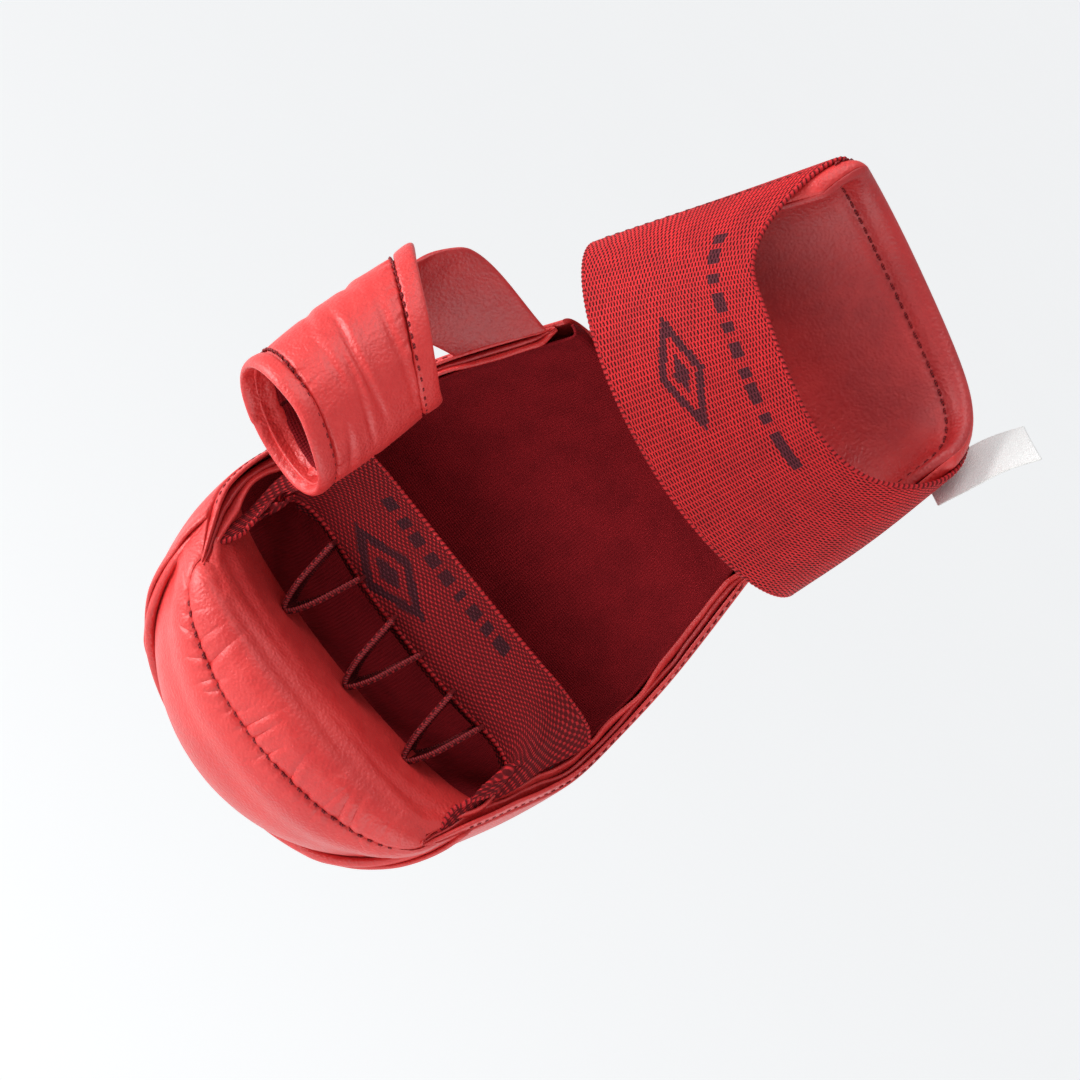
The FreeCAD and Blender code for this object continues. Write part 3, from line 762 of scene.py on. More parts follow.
def nose(along):
    """How thick the pad is, and how far its crown stands forward of the wall's own frame."""
    start = PAD_LENGTH - ROUNDING
    full = smooth(THICKNESS, np.minimum(along, start))
    share = np.maximum((along - start) / ROUNDING, 0.0)
    last = math.radians(NOSE_TURN)
    drop = (1 - np.cos(last * share)) / (1 - math.cos(last))
    reach = (ROUNDING + FRONT_LEAN) * np.sin(last * share) / math.sin(last)
    return full + (FRONT_THICKNESS - full) * drop, reach - ROUNDING * share


def pad_point(angle, along, depth, inset=0.0, forward=0.0):
    """Points of one ply. angle is 0 on the middle line and 90 degrees at either rim."""
    angle, along, depth, inset, forward = np.broadcast_arrays(angle, along, depth, inset, forward)
    middle, onward, outward = pad_frame(along)
    rim = rim_point(along)
    crown = middle + outward * depth[..., None] + onward * forward[..., None]
    half = smooth(HALF_WIDTH, along) - inset
    spot = rim + (crown - rim) * np.cos(angle)[..., None]
    spot[..., 0] += smooth(MIDDLE_X, along) + half * np.sin(angle)
    return spot


def outer_point(angle, along, under=0.0, inset=0.0):
    """The outside of the pad, or the surface under millimetres below it."""
    thickness, lean = nose(along)
    depth = thickness - under
    return pad_point(angle, along, depth, inset, lean * depth / thickness)


def even_angles(along, count, widest=90.0, under=0.0):
    """Angles that space points evenly over the pad's width at one distance along."""
    fine = np.radians(np.linspace(-widest, widest, 721))
    far = distances(outer_point(fine, along, under))
    return np.interp(np.linspace(0, far[-1], count), far, fine)


def cover_sweep(angles):
    """How much further along the wall the two covers meet at an angle than on the middle line."""
    return SEAM_SWEEP * np.abs(np.sin(angles)) ** SWEEP_POWER


def seam_rows(length, near, far):
    """Distances from a seam: closely spaced beside it and wider away from it."""
    rows = [0.0]
    while rows[-1] < length:
        share = min(rows[-1] / 14.0, 1.0)
        rows.append(rows[-1] + near + (far - near) * share)
    rows = np.array(rows)
    return rows * length / rows[-1]


def creases(across, away, seed, gap, depth, reach):
    """Short crisp folds that run away from a seam, at irregular places along it."""
    random = np.random.default_rng(seed)
    relief = np.zeros(np.broadcast_shapes(np.shape(across), np.shape(away)))
    at = across.min() + 5.0
    while at < across.max() - 5.0:
        length = reach * random.uniform(0.35, 1.3)
        width = random.uniform(0.45, 0.8)
        lean = random.uniform(-0.3, 0.3)
        deep = depth * random.uniform(0.3, 1.2)
        off = (across - at - lean * away) / width
        fade = np.exp(-(away / length) ** 2)
        relief += deep * fade * (0.7 * np.exp(-((off - 2.0) / 1.7) ** 2) - np.exp(-off ** 2))
        at += gap * random.uniform(0.5, 1.6)
    return relief


def pucker(across, away, seed, reach=6.0, size=0.42):
    """How far leather stands up or down beside a seam, from its irregular gathers."""
    end = np.minimum(across - across.min(), across.max() - across)
    calm = ease((end - 2.0) / 14.0)
    risen = 1 - np.exp(-(away / 0.8) ** 2)
    gather = wander(across, 7.5, seed + 1) * 0.8 * size * np.exp(-away / reach)
    folds = creases(across, away, seed, 5.0, size, reach)
    ditch = -0.85 * np.exp(-(away / 0.8) ** 2) - 0.40 * np.exp(-away / 2.6)
    dimple = -0.16 * (1 + np.cos(2 * math.pi * across / STITCH_PITCH)) * np.exp(-(away / 1.6) ** 2)
    return ditch * (0.4 + 0.6 * calm) + calm * (dimple + (folds + gather) * risen)


def push(grid, amount, outward_sign=1.0, cut=None):
    """Moves points along their normals, or along the normals of the grid they were cut as."""
    normals = grid_normals(grid if cut is None else cut)
    return grid + normals * (outward_sign * amount)[..., None]


def knuckle_cover():
    """The dome over the knuckles, gathered along the front seam."""
    columns = 281
    first = PANEL_SEAM - 3.0
    away = seam_rows(PAD_LENGTH - first, 0.42, 1.15)[::-1]
    rows = []
    for gap in away:
        angles = even_angles(PAD_LENGTH - gap, columns)
        along = PAD_LENGTH - gap + cover_sweep(angles) * gap / (PAD_LENGTH - first)
        rows.append(outer_point(angles, along))
    grid = np.array(rows)
    piece = grid_piece("knuckle_cover_leather", grid, LEATHER_RED, flip=True)
    across = distances(grid[-1])[None, :]
    away = surface_gap(grid)
    settled = settle(piece, grid, ease((away - 3) / 12), 3.0, 2.2)
    amount = pucker(across, away, 11, 5.0, 0.42)
    amount = amount + 0.45 * wander(across, 16.0, 5) * np.exp(-((away - 14) / 9) ** 2)
    store(piece, push(settled, amount, -1.0, grid))
    layer(piece, LEATHER, "mitt", "leather", "knuckle_cover")


def surface_gap(grid):
    """Real distance from each point of a grid to the last row, down its own column."""
    steps = np.linalg.norm(np.diff(grid, axis=0), axis=-1)
    total = np.concatenate([np.zeros((1, grid.shape[1])), np.cumsum(steps, axis=0)])
    return total[-1] - total


def border(rows, columns):
    """Indices of the points along all four edges of a grid."""
    index = np.arange(rows * columns).reshape(rows, columns)
    return np.unique(np.concatenate([index[0], index[-1], index[:, 0], index[:, -1]]))


def store(piece, points):
    piece.data.vertices.foreach_set("co", (points * MM).astype(np.float32).ravel())
    piece.data.update()


def back_cover():
    """The shell over the back of the hand. Its wrist end turns in, and its front end laps the dome."""
    columns = 141
    rows = []
    for share in np.linspace(0, 1, 8):
        turn = share * math.pi / 2
        depth = 1.2 + (float(nose(0.0)[0]) - 1.2) * math.sin(turn)
        spot = pad_point(even_angles(0.0, columns), 0.0, depth)
        spot[:, 2] += 1.6 * math.cos(turn) * np.sin(np.linspace(0, math.pi, columns)) ** 0.5 * 0.9
        rows.append(spot)
    for along in np.arange(1.2, PANEL_SEAM, 1.25):
        angles = even_angles(along, columns)
        swept = along + cover_sweep(angles) * along / PANEL_SEAM
        rows.append(outer_point(angles, swept))
    grid = np.array(rows)
    piece = grid_piece("back_cover_leather", grid, LEATHER_RED, flip=True)
    away = surface_gap(grid)
    settled = settle(piece, grid, ease((away - 2) / 10), 2.0, 2.0)
    across = distances(grid[-1])[None, :]
    lap = 0.9 * np.exp(-(away / 3.2) ** 4)
    gather = 0.3 * wander(across, 5.0, 21) * np.exp(-away / 7.0)
    store(piece, push(settled, lap + gather, -1.0, grid))
    layer(piece, LEATHER, "mitt", "leather", "back_cover")


def lapped_edge():
    """The turned edge of the back cover where it laps over the dome, with its row of stitches."""
    columns = 221
    angles = even_angles(PANEL_SEAM, columns, 89)
    seam = PANEL_SEAM + cover_sweep(angles)
    far = distances(outer_point(angles, seam))
    calm = ease(np.minimum(far, far[-1] - far) / 12.0)
    rows = []
    profile = [(-3.4, 0.8), (-2.6, 1.15), (-1.4, 1.4), (-0.4, 1.5), (0.25, 1.25), (0.45, 0.6),
               (0.3, 0.0), (-0.2, -0.5)]
    for shift, lift in profile:
        waver = 0.3 * wander(far, 8.0, 31)
        rise = lift + 0.3 * wander(far, 10.0, 32) * calm * (lift > 0.5)
        rows.append(outer_point(angles, seam + shift + waver, -rise * (0.55 + 0.45 * calm)))
    piece = grid_piece("lapped_seam_edge", np.array(rows), LEATHER_RED, flip=True)
    layer(piece, HEM_LEATHER, "mitt", "leather", "cover_seam_edge")
    angles = even_angles(PANEL_SEAM, 200, 84)
    seam = PANEL_SEAM + cover_sweep(angles) - 2.3
    path = outer_point(angles, seam, -1.15)
    above = outer_point(angles, seam, -2.15)
    sewn_row("lapped_seam_stitches", path, above, "mitt", lift=0.0, seed=33)


def front_panel():
    """The end face of the pad: a gathered band, a soft ridge, then leather sloping in to the fingers."""
    columns = 261
    rows = []
    for depth, forward in reversed(smooth_profile(PANEL_PROFILE, 72)):
        inside = float(ease(1 - depth / FRONT_THICKNESS))
        angles = np.radians(np.linspace(-1, 1, columns) * lerp(PANEL_EDGE, inside))
        along = PAD_LENGTH + min(forward, 0.0)
        rows.append(pad_point(angles, along, depth, lerp((0.5, 2.0), inside), max(forward, 0.0)))
    grid = np.array(rows)
    piece = grid_piece("front_panel_leather", grid, LEATHER_RED)
    across = distances(grid[-1])[None, :]
    away = surface_gap(grid)
    slope = ease((away - 4) / 6) * (1 - ease((away - 14) / 6))
    settled = settle(piece, grid, 0.7 * slope, 1.5, 1.4)
    amount = pucker(across, away, 41, 6.0, 0.50)
    amount = amount + 0.6 * wander(across, 15.0, 45) * np.exp(-((away - 17) / 6) ** 2)
    store(piece, push(settled, amount, 1.0, grid))
    layer(piece, LEATHER, "mitt", "leather", "front_panel")


def front_seam():
    """The dark stitches in the ditch between the dome and the front panel."""
    angles = even_angles(PAD_LENGTH, 320, 81)
    path = outer_point(angles, PAD_LENGTH)
    down = pad_point(angles, PAD_LENGTH, FRONT_THICKNESS, 0.0, FRONT_LEAN + 1.0) - path
    out = outer_point(angles, PAD_LENGTH, -1.0) - path
    outward = unit(unit(down) + unit(out))
    path = path - outward * 0.05
    row = stitches("front_seam_stitches", path, outward, 0.0, 51, radius=0.33)
    finish_piece(row, "mitt", "thread", "front_seam_thread")


def pad_filling():
    """The foam under the covers, and the lining on the hand's side."""
    columns = 61
    near, far = [], []
    for along in np.linspace(3.0, PAD_LENGTH - 4.0, 50):
        angles = np.radians(np.linspace(-80, 80, columns))
        near.append(pad_point(angles, along, 1.3, RIM_STACK))
        far.append(outer_point(angles, along, 3.6, 3.6))
    near, far = np.array(near), np.array(far)
    piece = closed_pair("foam_pad", near, far, FOAM_GREY)
    finish_piece(piece, "mitt", "foam", "foam_core")
    columns = 91
    angles = np.radians(np.linspace(-90, 90, columns))
    rows = []
    for share in np.linspace(1, 0, 7):
        turned = pad_point(angles, 0.0, lerp((0.35, 3.8), share), lerp((RIM_STACK - 0.6, 0.9), share))
        turned[:, 2] += 0.5 * math.sin(math.pi / 2 * share)
        rows.append(turned)
    for along in np.linspace(1.0, PAD_LENGTH - 3.0, 90):
        rows.append(pad_point(angles, along, 0.35, RIM_STACK - 0.6))
    grid = np.array(rows)
    ripple = 0.22 * wander(np.arange(columns) * 1.6, 9.0, 61)[None, :] * np.ones((len(rows), 1))
    ripple += 0.25 * wander(np.arange(len(rows)) * 1.5, 11.0, 62)[:, None]
    grid = push(grid, ripple)
    lining = grid_piece("hand_side_lining", grid, LINING_RED)
    layer(lining, LINING, "mitt", "lining", "hand_lining")


def closed_pair(name, near, far, material):
    """One closed mesh between two grids of the same size."""
    rows, columns = near.shape[:2]
    index = np.arange(rows * columns).reshape(rows, columns)
    ring = np.concatenate([index[0], index[1:, -1], index[-1, -2::-1], index[-2:0:-1, 0]])
    other = ring + rows * columns
    walls = np.stack([ring, np.roll(ring, -1), np.roll(other, -1), other], -1)
    faces = np.concatenate([grid_faces(rows, columns, flip=True),
                            grid_faces(rows, columns) + rows * columns, walls])
    cloth = np.concatenate([cloth_lengths(near).reshape(-1, 3), cloth_lengths(far).reshape(-1, 3)])
    points = np.concatenate([near.reshape(-1, 3), far.reshape(-1, 3)])
    piece = make_mesh(name, points, faces, material, cloth)
    rework(piece, face_outwards)
    return piece


def rim_side(along):
    """The way from the rim towards the palm."""
    step = 1.0
    run = rim_point(np.minimum(along + step, PAD_LENGTH)) - rim_point(np.maximum(along - step, 0))
    return unit(np.stack([np.zeros_like(run[..., 1]), run[..., 2], -run[..., 1]], -1))


def side_hem(side, name, seed):
    """Turned leather plies along one rim. They lie together at the seam's end and fan out behind it."""
    along = np.linspace(2.0, PAD_LENGTH, 200)
    base = rim_point(along)
    towards = rim_side(along)
    base[:, 0] += smooth(MIDDLE_X, along) + side * smooth(HALF_WIDTH, along)
    run = unit(base[-1] - base[-3])
    past = np.linspace(0.4, HEM_TAIL, 8)
    base = np.concatenate([base, base[-1] + run * past[:, None]])
    towards = np.concatenate([towards, np.repeat(towards[-1:], len(past), axis=0)])
    far = distances(base)
    left = far[-1] - HEM_TAIL - far
    close = np.sqrt(np.clip((left + HEM_TAIL + 0.02) / (HEM_TAIL + 2.0), 0, 1)) * ease((far + 1) / 7)
    open_up = ease((left - 1.0) / 15.0) * (1 - 0.5 * ease((left - 24) / 40))
    inward = np.array((-side, 0.0, 0.0))
    # The middle ply takes the darker leather copy: painted shade between the outer plies.
    plies = ((-0.40, 0.2, 4.2, LEATHER_RED), (0.75, 1.0, 3.0, SHADED_LEATHER),
             (1.75, 1.7, 3.7, LEATHER_RED))
    for number, (inset, fan, height, material) in enumerate(plies):
        ripple = wander(far, 9.0, seed + number) * 0.6 + wander(far, 3.6, seed + 7 + number) * 0.18
        tall = height * (1 + 0.2 * wander(far, 11.0, seed + 20 + number))
        rows = []
        for k in np.linspace(0, 1, 9):
            lift = tall * (k - 0.35) * (0.3 + 0.7 * open_up) * close + 0.4
            spread = inset * close + (fan + ripple * (0.4 + number)) * open_up * k
            bulge = 0.35 * math.sin(math.pi * k)
            rows.append(base + towards * lift[:, None] + inward * (spread - bulge)[:, None])
        piece = grid_piece("%s_%d" % (name, number + 1), np.array(rows), material, flip=side > 0)
        layer(piece, PLY_LEATHER, "mitt", "leather", *([name] if number == 0 else []))
    path = base + towards * 1.5 + np.array((side * 0.45, 0.0, 0.0))
    outward = np.broadcast_to(np.array((float(side), 0.0, 0.0)), path.shape)
    row = stitches(name + "_stitches", path[4:-24], outward[4:-24], -0.1, seed + 9,
                   radius=0.26)
    finish_piece(row, "mitt", "thread")


# ======== finger elastic ========

def band_edges():
    """Lower and upper edge of the finger elastic, from the thumb's side to the little finger's."""
    end = PAD_LENGTH - 3.0
    back = 66.0

    def at_rim(side, along, off, tuck=BAND_TUCK):
        spot = rim_point(along) + rim_side(along) * off
        spot[0] += smooth(MIDDLE_X, along) + side * (smooth(HALF_WIDTH, along) - tuck)
        return spot

    hem = 1.8
    under_hem = (0.4, 0.9)
    under_thumb_hem = (0.2, 0.0)
    low_y = PALM_Y - 3
    low_z = BAND_BOTTOM_Z
    lower = [at_rim(-1, end, *under_thumb_hem), (-42, -35, -98), (-43, -28, -92.5), (-40, -22.5, low_z + 0.5),
             (-33, low_y, low_z + 1.5), (-18, low_y, low_z), (0, low_y, low_z - 0.5),
             (16, low_y, low_z), (26, low_y, low_z + 1), (31.5, -23.5, low_z),
             (33, -29, -93), (31, -36, -98.5), at_rim(1, end, *under_hem)]
    high_y = PALM_Y + 1
    high_z = BAND_TOP_Z
    upper = [at_rim(-1, back, hem), (-45, -9.5, -73), (-43, -12.5, high_z - 1),
             (-39, -15, high_z - 0.5), (-33, high_y + 0.5, high_z), (-18, high_y, high_z),
             (2, high_y, high_z), (16, high_y + 1, high_z), (26, high_y + 3, high_z),
             (31.5, -12, high_z - 0.5), (34.5, -9.5, high_z - 1.5), (36.5, -7.5, -73),
             at_rim(1, back, hem)]
    return lower, upper


def finger_elastic():
    """The wide band across the palm, pleated where it is sewn in at its two ends."""
    columns, width = 221, 33
    lower, upper = (curve_through(edge, columns) for edge in band_edges())
    share = np.linspace(0, 1, width)[:, None, None]
    grid = lower[None] + (upper - lower)[None] * share
    across = np.linspace(0, 1, columns)[None, :]
    over = share[..., 0]
    sides = ease((np.abs(across - 0.5) - 0.27) / 0.14)
    crush = over * 2.3 + 0.2 + 0.35 * wander(across * 130, 12.0, 73)
    pleat = 0.5 * np.sin(2 * math.pi * crush) * sides * ease(over * 4) * ease((1 - over) * 4)
    belly = 0.5 * np.sin(math.pi * over) * (1 - sides)
    edge_lift = 0.25 * wander(across * 130, 8.0, 71) * (2 * over - 1) ** 2
    grid = push(grid, pleat + belly + edge_lift, -1.0)
    piece = grid_piece("palm_elastic", grid, PALM_WEAVE)
    face(piece, -1)
    layer(piece, ELASTIC, "mitt", "elastic", "finger_elastic")
    wound_edges(("palm_elastic_edge_low", "palm_elastic_edge_high"), grid, "mitt", 0.56)


def inner_loop():
    """The second elastic behind the first, a little lower, that the finger ribbons are sewn to."""
    columns = 121
    lower, upper = (curve_through(edge[3:-3], columns) for edge in band_edges())
    grid = lower[None] + (upper - lower)[None] * np.linspace(*LOOP_SHARES, 15)[:, None, None]
    grid = grid + np.array((0.0, LOOP_BEHIND, 0.0))
    across = np.linspace(0, 1, columns)[None, :]
    grid[..., 1] += 0.5 * wander(across * 80, 7.0, 81) * np.linspace(1, 0.2, 15)[:, None]
    piece = grid_piece("finger_loop_elastic", grid, RIBBON_WEAVE)
    face(piece, -1)
    layer(piece, RIBBON, "mitt", "elastic", "finger_loop_elastic")


def dividers():
    """Folded ribbons between the fingers, each sewn to the wall at its fold."""
    for number, x in enumerate(DIVIDER_X, 1):
        fold_z = FINGER_WALL_Z + 3.2
        top_z = BAND_BOTTOM_Z + 1.5
        profile = [(x - DIVIDER_SPREAD, 0, top_z), (x - 2.2, 0, fold_z + 4.5), (x, 0, fold_z),
                   (x + 2.2, 0, fold_z + 4.5), (x + DIVIDER_SPREAD, 0, top_z)]
        line = curve_through(profile, 61)
        rows = []
        for y in np.linspace(DIVIDER_FRONT_Y, DIVIDER_FRONT_Y + DIVIDER_DEPTH, 15):
            row = line.copy()
            rise = np.clip((row[:, 2] - fold_z - 6) / 10, 0, 1)
            row[:, 1] = y + rise * 6.0
            rows.append(row)
        piece = grid_piece("finger_ribbon_%d" % number, np.array(rows), RIBBON_WEAVE)
        layer(piece, RIBBON, "mitt", "elastic", "finger_divider_%d" % number)
        for edge, name in ((0, "front"), (-1, "back")):
            path = np.array(rows)[edge]
            out = np.broadcast_to(np.array((0.0, -1.0, 0.0)), path.shape)
            yarn = rope("finger_ribbon_%d_%s" % (number, name), path, out, THREAD_RED, 0.42, 1.0)
            finish_piece(yarn, "mitt", "elastic")


# ======== wrist ========

def wrist_point(angle, share, inset=0.0):
    """Points of the wrist elastic. angle 0 is the little finger's side, 90 degrees the back."""
    angle, share, inset = np.broadcast_arrays(np.asarray(angle, float), share, inset)
    turn = np.radians(angle)
    palm = np.sin(turn) < 0
    depth = np.where(palm, lerp(WRIST_PALM_DEPTH, share), lerp(WRIST_BACK_DEPTH, share)) - inset
    half = lerp(WRIST_HALF_WIDTH, share) - inset
    x = half * np.cos(turn)
    y = lerp(WRIST_MIDDLE_Y, share) + depth * np.sin(turn)
    hand_dip = ((1 - np.sin(turn)) / 2) ** 2
    thumb_dip = ease((0.35 - np.sin(turn)) / 1.1)
    arm_dip = hand_dip + (thumb_dip - hand_dip) * (1 - np.cos(turn)) / 2
    low = WRIST_EDGE_Z[0] + WRIST_SLOPE[0] * x - hand_dip * WRIST_PALM_DIP[0]
    high = WRIST_EDGE_Z[1] + WRIST_SLOPE[1] * x - arm_dip * WRIST_PALM_DIP[1]
    return np.stack([lerp(WRIST_MIDDLE_X, share) + x, y, low + (high - low) * share], -1)


def wrist_swell(angle, share):
    """The elastic's soft waves: it stands off the wrist between its tight edges."""
    turn = np.radians(angle)
    belly = 0.7 * np.sin(math.pi * share) * (0.4 + 0.6 * (np.sin(turn) < 0))
    wave = 0.45 * np.sin(3 * turn + 2.2 * share + 0.6) * np.sin(math.pi * share)
    return belly + wave


def wrist_angles():
    """Once round the wrist, from the elastic's seam back to it."""
    return np.linspace(WRIST_SEAM_ANGLE + 0.4 - 360, WRIST_SEAM_ANGLE - 0.4, 331)


def wrist_elastic():
    """The wide band round the wrist, wound at both edges and sewn shut under the label."""
    rows = 61
    angles = wrist_angles()[None, :]
    shares = np.linspace(0, 1, rows)[:, None]
    grid = wrist_point(angles, shares, -wrist_swell(angles, shares) * 0.7)
    piece = grid_piece("wrist_band_elastic", grid, WRIST_WEAVE)
    layer(piece, ELASTIC, "wrist_cuff", "elastic", "wrist_elastic")
    wound_edges(("wrist_edge_hand", "wrist_edge_arm"), grid, "wrist_cuff", 0.52)
    for number, (angle, lift) in enumerate(((WRIST_SEAM_ANGLE - 1.6, 0.0), (WRIST_SEAM_ANGLE + 1.6, 0.0),
                                            (178.0, -0.4)), 1):
        line = wrist_point(angle, np.linspace(0.04, 0.96, 60), -0.1)
        above = wrist_point(angle, np.linspace(0.04, 0.96, 60), -1.1)
        sewn_row("wrist_stitches_%d" % number, line, above, "wrist_cuff",
                 *(["wrist_thread"] if number == 1 else []), lift=lift, radius=0.26, seed=90 + number)


def tongue_share(angle, k):
    """Where the tongue's rows lie: it reaches past both edges of the elastic."""
    side = np.abs(np.cos(np.radians(angle)))
    low = -0.145 + 0.10 * side ** 2
    return low + (1.07 - low) * k


def tongue():
    """A soft padded leather tongue inside the elastic: outer leather, foam and inner leather."""
    columns, rows = 161, 61
    angles = np.linspace(TONGUE_ANGLES[0], TONGUE_ANGLES[1], columns)[None, :]
    k = np.linspace(0, 1, rows)[:, None]
    shares = tongue_share(angles, k)
    ends = np.minimum(np.minimum(k, 1 - k) * TONGUE_LENGTH,
                      np.minimum(angles - TONGUE_ANGLES[0], TONGUE_ANGLES[1] - angles) * TONGUE_DEGREE)
    full = np.sqrt(np.clip(1 - (1 - np.clip(ends / 3.2, 0, 1)) ** 2, 0, 1))
    middle = TONGUE_START + TONGUE_THICKNESS / 2
    dent = 0.28 * wander(angles[0] * 0.7, 9.0, 101)[None, :] * np.sin(math.pi * k)
    swell = 0.7 * wrist_swell(angles, np.clip(shares, 0, 1))
    outer = wrist_point(angles, shares, middle - full * TONGUE_THICKNESS / 2 - swell)
    ditch = 0.7 * np.exp(-((ends - QUILT_INSET) / 1.1) ** 2)
    inner = wrist_point(angles, shares, middle + full * TONGUE_THICKNESS / 2 - np.maximum(dent, 0) - ditch)
    # The inner leather is the darker leather copy: painted shade inside the cuff.
    for name, grid, material, node, turned in (
            ("tongue_leather", outer, LEATHER_RED, "tongue_cover", False),
            ("tongue_inner_leather", inner, SHADED_LEATHER, "tongue_lining", True)):
        piece = grid_piece(name, grid, material, flip=turned)
        layer(piece, TONGUE_PLY, "wrist_cuff", "leather", node)
    near = wrist_point(angles[:, 6:-6], shares[4:-4, 6:-6], middle - 0.9)
    far = wrist_point(angles[:, 6:-6], shares[4:-4, 6:-6], middle + 0.9)
    foam = closed_pair("tongue_padding", near[::3, ::4], far[::3, ::4], FOAM_GREY)
    finish_piece(foam, "wrist_cuff", "foam", "tongue_foam")
    for name, spot in (("tongue_stitches_hand", 0.085), ("tongue_stitches_arm", 0.955)):
        line_angles = np.linspace(TONGUE_ANGLES[0] + 8, TONGUE_ANGLES[1] - 8, 260)
        share = tongue_share(line_angles, spot)
        line = wrist_point(line_angles, share, TONGUE_START + 0.1)
        above = wrist_point(line_angles, share, TONGUE_START - 0.9)
        sewn_row(name, line, above, "wrist_cuff", lift=0.05, seed=110)
    quilt_line(middle + TONGUE_THICKNESS / 2 - 0.55)


def quilt_line(inset):
    """The stitches round the tongue's inner face, in a rounded rectangle."""
    first = TONGUE_ANGLES[0] + QUILT_INSET / TONGUE_DEGREE
    last = TONGUE_ANGLES[1] - QUILT_INSET / TONGUE_DEGREE
    low = QUILT_INSET / TONGUE_LENGTH
    high = 1 - low
    turn = np.linspace(0, 2 * math.pi, 721)
    wide, tall = np.cos(turn), np.sin(turn)
    size = (np.abs(wide) ** 12 + np.abs(tall) ** 12) ** (1 / 12)
    angles = (first + last) / 2 + (last - first) / 2 * wide / size
    k = (low + high) / 2 + (high - low) / 2 * tall / size
    path = wrist_point(angles, tongue_share(angles, k), inset)
    above = wrist_point(angles, tongue_share(angles, k), inset + 1.0)
    sewn_row("tongue_inner_stitches", path, above, "wrist_cuff", lift=0.0, radius=0.28, seed=115)


def fold_leather():
    """The soft leather that joins the pad to the tongue over the back of the wrist."""
    columns, rows = 91, 15
    turn = np.linspace(*FOLD_ANGLES, columns)
    top = wrist_point(turn, tongue_share(turn, 0.10), TONGUE_START + 1.2)
    pad_angle = np.interp(turn, FOLD_ANGLES, (math.radians(55), math.radians(-55)))
    low = outer_point(pad_angle, 5.0, 1.6, 0.5)
    grid = []
    for k in np.linspace(0, 1, rows):
        row = top + (low - top) * k
        sag = 1.5 * math.sin(math.pi * k)
        row[:, 1] += sag * (0.3 + 0.7 * np.sin(np.radians(turn))) - 1.0 * math.sin(math.pi * k)
        grid.append(row)
    grid = np.array(grid)
    ripple = 0.35 * wander(turn * 0.8, 6.0, 121)
    grid[..., 1] += ripple * np.sin(np.linspace(0, math.pi, rows))[:, None]
    # The darker leather copy: painted shade where the fold sits between pad and tongue.
    piece = grid_piece("wrist_fold_leather", grid, SHADED_LEATHER)
    face(piece, 1)
    thicken(piece, SOFT_LEATHER)
    apply_modifiers(piece)
    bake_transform(piece)


def apply_modifiers(piece):
    depsgraph = bpy.context.evaluated_depsgraph_get()
    made = bpy.data.meshes.new_from_object(piece.evaluated_get(depsgraph))
    piece.modifiers.clear()
    piece.data = made


def label():
    """A blank satin label, sewn in at its root, that curls gently outwards."""
    lean = math.radians(LABEL_LEAN)
    away = unit(np.cross(LABEL_ACROSS, (0, 0, 1)))
    rows = []
    for k in np.linspace(0, 1, 41):
        up = LABEL_LENGTH * k
        out = up * math.sin(lean) * (0.6 + 0.4 * k) + 0.5 * math.sin(2.4 * math.pi * k) * k
        centre = LABEL_ROOT + away * out + np.array((0, 0, up * math.cos(lean)))
        spread = np.linspace(-LABEL_WIDTH / 2, LABEL_WIDTH / 2, 25)
        cup = 0.7 * k * (spread / (LABEL_WIDTH / 2)) ** 2
        rows.append(centre + spread[:, None] * LABEL_ACROSS + cup[:, None] * away)
    piece = grid_piece("label_satin", np.array(rows), SATIN_WHITE)
    layer(piece, SATIN, "label", "label", "label")


# ======== thumb guard ========

def thumb_axes():
    axis = unit(THUMB_TIP - THUMB_BASE)
    across = np.array((1.0, 0.0, 0.0))
    return axis, across, unit(np.cross(axis, across))


def thumb_point(angle, share, inset=0.0, extra=0.0):
    """Points of the thumb tube. share is 0 at the base edge and 1 at the tip edge; extra runs on."""
    angle, share, inset, extra = np.broadcast_arrays(np.asarray(angle, float), share, inset, extra)
    axis, across, front = thumb_axes()
    turn = np.radians(angle)
    base = BASE_SLANT[0] * np.cos(turn) + BASE_SLANT[1] * np.sin(turn)
    tip = TIP_SLANT[0] * np.cos(turn) + TIP_SLANT[1] * np.sin(turn)
    down = THUMB_LENGTH * share + base + (tip - base) * share + extra
    return (THUMB_BASE + axis * down[..., None]
            + across * ((THUMB_HALF[0] - inset) * np.cos(turn))[..., None]
            + front * ((THUMB_HALF[1] - inset) * np.sin(turn))[..., None])


def thumb_angles(count):
    """Angles that space points evenly round the tube."""
    fine = np.linspace(THUMB_SEAM_ANGLE - 360, THUMB_SEAM_ANGLE, 1441)
    far = distances(thumb_point(fine, 0.5))
    return np.interp(np.linspace(0, far[-1], count + 1)[:-1], far, fine)


def thumb_creases(angles, shares):
    """How far the tube's leather stands out beside its few long creases, and sinks in them."""
    relief = np.zeros(np.broadcast_shapes(angles.shape, shares.shape))
    for number, (share, middle, half, slant, height, width) in enumerate(THUMB_FOLDS):
        turn = (angles - middle + 180) % 360 - 180
        sway = 0.012 * np.sin(np.radians(turn) * 3.1 + number * 1.7)
        off = (shares - share - slant * turn / 60 - sway) * THUMB_LENGTH / width
        fade = np.exp(-np.abs(turn / half) ** 3)
        relief += height * fade * (0.45 * np.exp(-((off + 1.9) / 1.6) ** 2) - np.exp(-off ** 2))
    return relief


